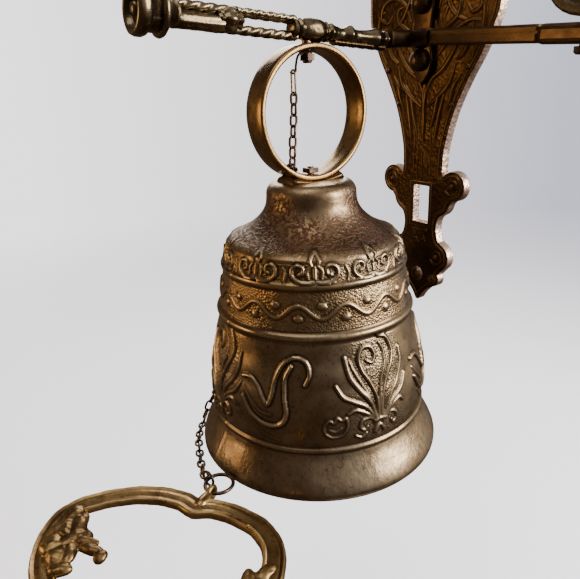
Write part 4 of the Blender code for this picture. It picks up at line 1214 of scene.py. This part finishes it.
def build_rings():
    """Two jump rings between the pull's eye and the end of the tail chain."""
    away = (pull_place(0, -1) - pull_place(0, 0)).normalized()
    across = pull_place(1, 0) - pull_place(0, 0)
    large = pull_place(0, EYE_V) + away * 5.5
    towards = (tail_path()[-1] - large).normalized()
    small = large + towards * 7.36
    for name, centre, reach, wire, a_axis, b_axis, body, node in (
            ("large_ring", large + away * 0.6, 6.1, 0.85, away, across, "large_ring", "large_jump_ring"),
            ("small_ring", small, 3.5, 0.62, towards, Vector((0, 0, 1)), "small_ring", "small_jump_ring")):
        bm = bmesh.new()
        path = [centre + a_axis * reach * math.cos(a) + b_axis * reach * math.sin(a) for a in full_turn(48)]
        tube(bm, path, wire, 12, closed=True)
        add_piece(name + "_wire", mesh_of(name, bm, 60.0), "steel", body, node)


# ---------------------------------------------------------------- light, floor and camera

FLOOR_Z = -0.36
FLOOR_COLOUR = (0.80, 0.79, 0.80, 1.0)

# Area lamps: place from the bell in metres, size, watts and colour
LAMPS = {
    "window": ((0.55, 0.42, 0.22), 0.42, 13.0, (1.0, 0.97, 0.95)),
    "fill": ((-0.35, -0.60, 0.10), 0.28, 1.6, (1.0, 0.66, 0.34)),
    "top": ((0.05, -0.25, 0.75), 0.50, 2.2, (1.0, 0.98, 0.96)),
    "back": ((-0.55, 0.30, 0.30), 0.40, 3.0, (1.0, 0.95, 0.88)),
}
LENS = 34.683
CAMERA_PLACE = (0.19743, -0.21846, -0.0146)
CAMERA_TURN = (69.3136, 2.4399, 55.5146)


def build_floor():
    """Pale floor that fades into the backdrop with distance and isn't mirrored in the brass."""
    bpy.ops.mesh.primitive_plane_add(size=12.0, location=(0, 0, FLOOR_Z))
    floor = bpy.context.object
    floor.name = "studio_floor"
    floor.visible_glossy = False
    n = Nodes(bpy.data.materials.new("studio_floor"))
    n.shader.inputs["Base Color"].default_value = FLOOR_COLOUR
    n.shader.inputs["Roughness"].default_value = 0.9
    n.shader.inputs["Specular IOR Level"].default_value = 0.1
    distance = n.add("ShaderNodeVectorMath", operation="LENGTH")
    n.link(n.place, distance.inputs[0])
    clear = n.add("ShaderNodeBsdfTransparent").outputs["BSDF"]
    fade = n.spread(distance.outputs["Value"], 0.35, 1.3)
    n.output("Material Output", fade, n.shader.outputs["BSDF"], clear)
    floor.data.materials.append(n.owner)


def build_world():
    """Pale backdrop for the eye, and a dim room with one bright side for what the brass mirrors."""
    world = bpy.data.worlds.new("studio")
    bpy.context.scene.world = world
    n = Nodes(world)
    around = n.coords["Generated"]
    room = n.tree.nodes["Background"]
    room.inputs["Strength"].default_value = 0.9
    n.link(n.ramp(n.dot(around, (0.52, 0.62, 0.58)), (0.15, (0.115, 0.074, 0.044)),
           (0.95, (0.96, 0.95, 0.97))),
           room.inputs["Color"])
    wall = n.add("ShaderNodeBackground", Strength=1.0)
    across = n.math("ADD", n.dot(around, (0.566, 0.824, 0.0)), 0.5)
    n.link(n.ramp(across, (0.08, (2.2, 2.15, 2.2)), (0.92, (0.82, 0.83, 0.97))), wall.inputs["Color"])
    mirrored = n.add("ShaderNodeLightPath").outputs["Is Glossy Ray"]
    n.output("World Output", mirrored, wall.outputs["Background"], room.outputs["Background"])


def build_lamps():
    target = Vector((0.0, BELL_Y * MM, -0.11))
    for name, (offset, size, power, colour) in LAMPS.items():
        data = bpy.data.lights.new(name, "AREA")
        data.size = size
        data.energy = power
        data.color = colour
        lamp = bpy.data.objects.new(name, data)
        bpy.context.scene.collection.objects.link(lamp)
        lamp.location = target + Vector(offset)
        lamp.rotation_euler = (-Vector(offset)).to_track_quat("-Z", "Y").to_euler()


def build_camera():
    data = bpy.data.cameras.new("camera")
    data.lens = LENS
    data.sensor_width = 36.0
    data.clip_start = 0.005
    camera = bpy.data.objects.new("camera", data)
    camera.location = CAMERA_PLACE
    camera.rotation_euler = tuple(math.radians(a) for a in CAMERA_TURN)
    bpy.context.scene.collection.objects.link(camera)
    bpy.context.scene.camera = camera


# ---------------------------------------------------------------- assembly

KEPT_NODES = {
    "plate": ("plate_screw_upper", "plate_screw_lower"),
    "lacquer": ("dome_bolt_upper", "dome_bolt_lower", "side_arm", "side_block"),
    "arm": ("side_rosette", "chain_hook"),
    "steel": ("rosette_screw", "bell_bolt", "bell_nut", "clapper_staple", "staple_nut"),
    "iron": ("clapper_rod", "clapper_ball"),
}
for material, nodes in KEPT_NODES.items():
    for node in nodes:
        finish_node(node, material)

build_bell()
build_loop()
build_chains()
build_plate()
build_rails()
build_strap()
build_root()
build_boss()
build_arm_end()
build_pull_frame()
build_pull_shank()
build_pull_beads()
build_foliage()
build_rings()
build_floor()
build_world()
build_lamps()
build_camera()
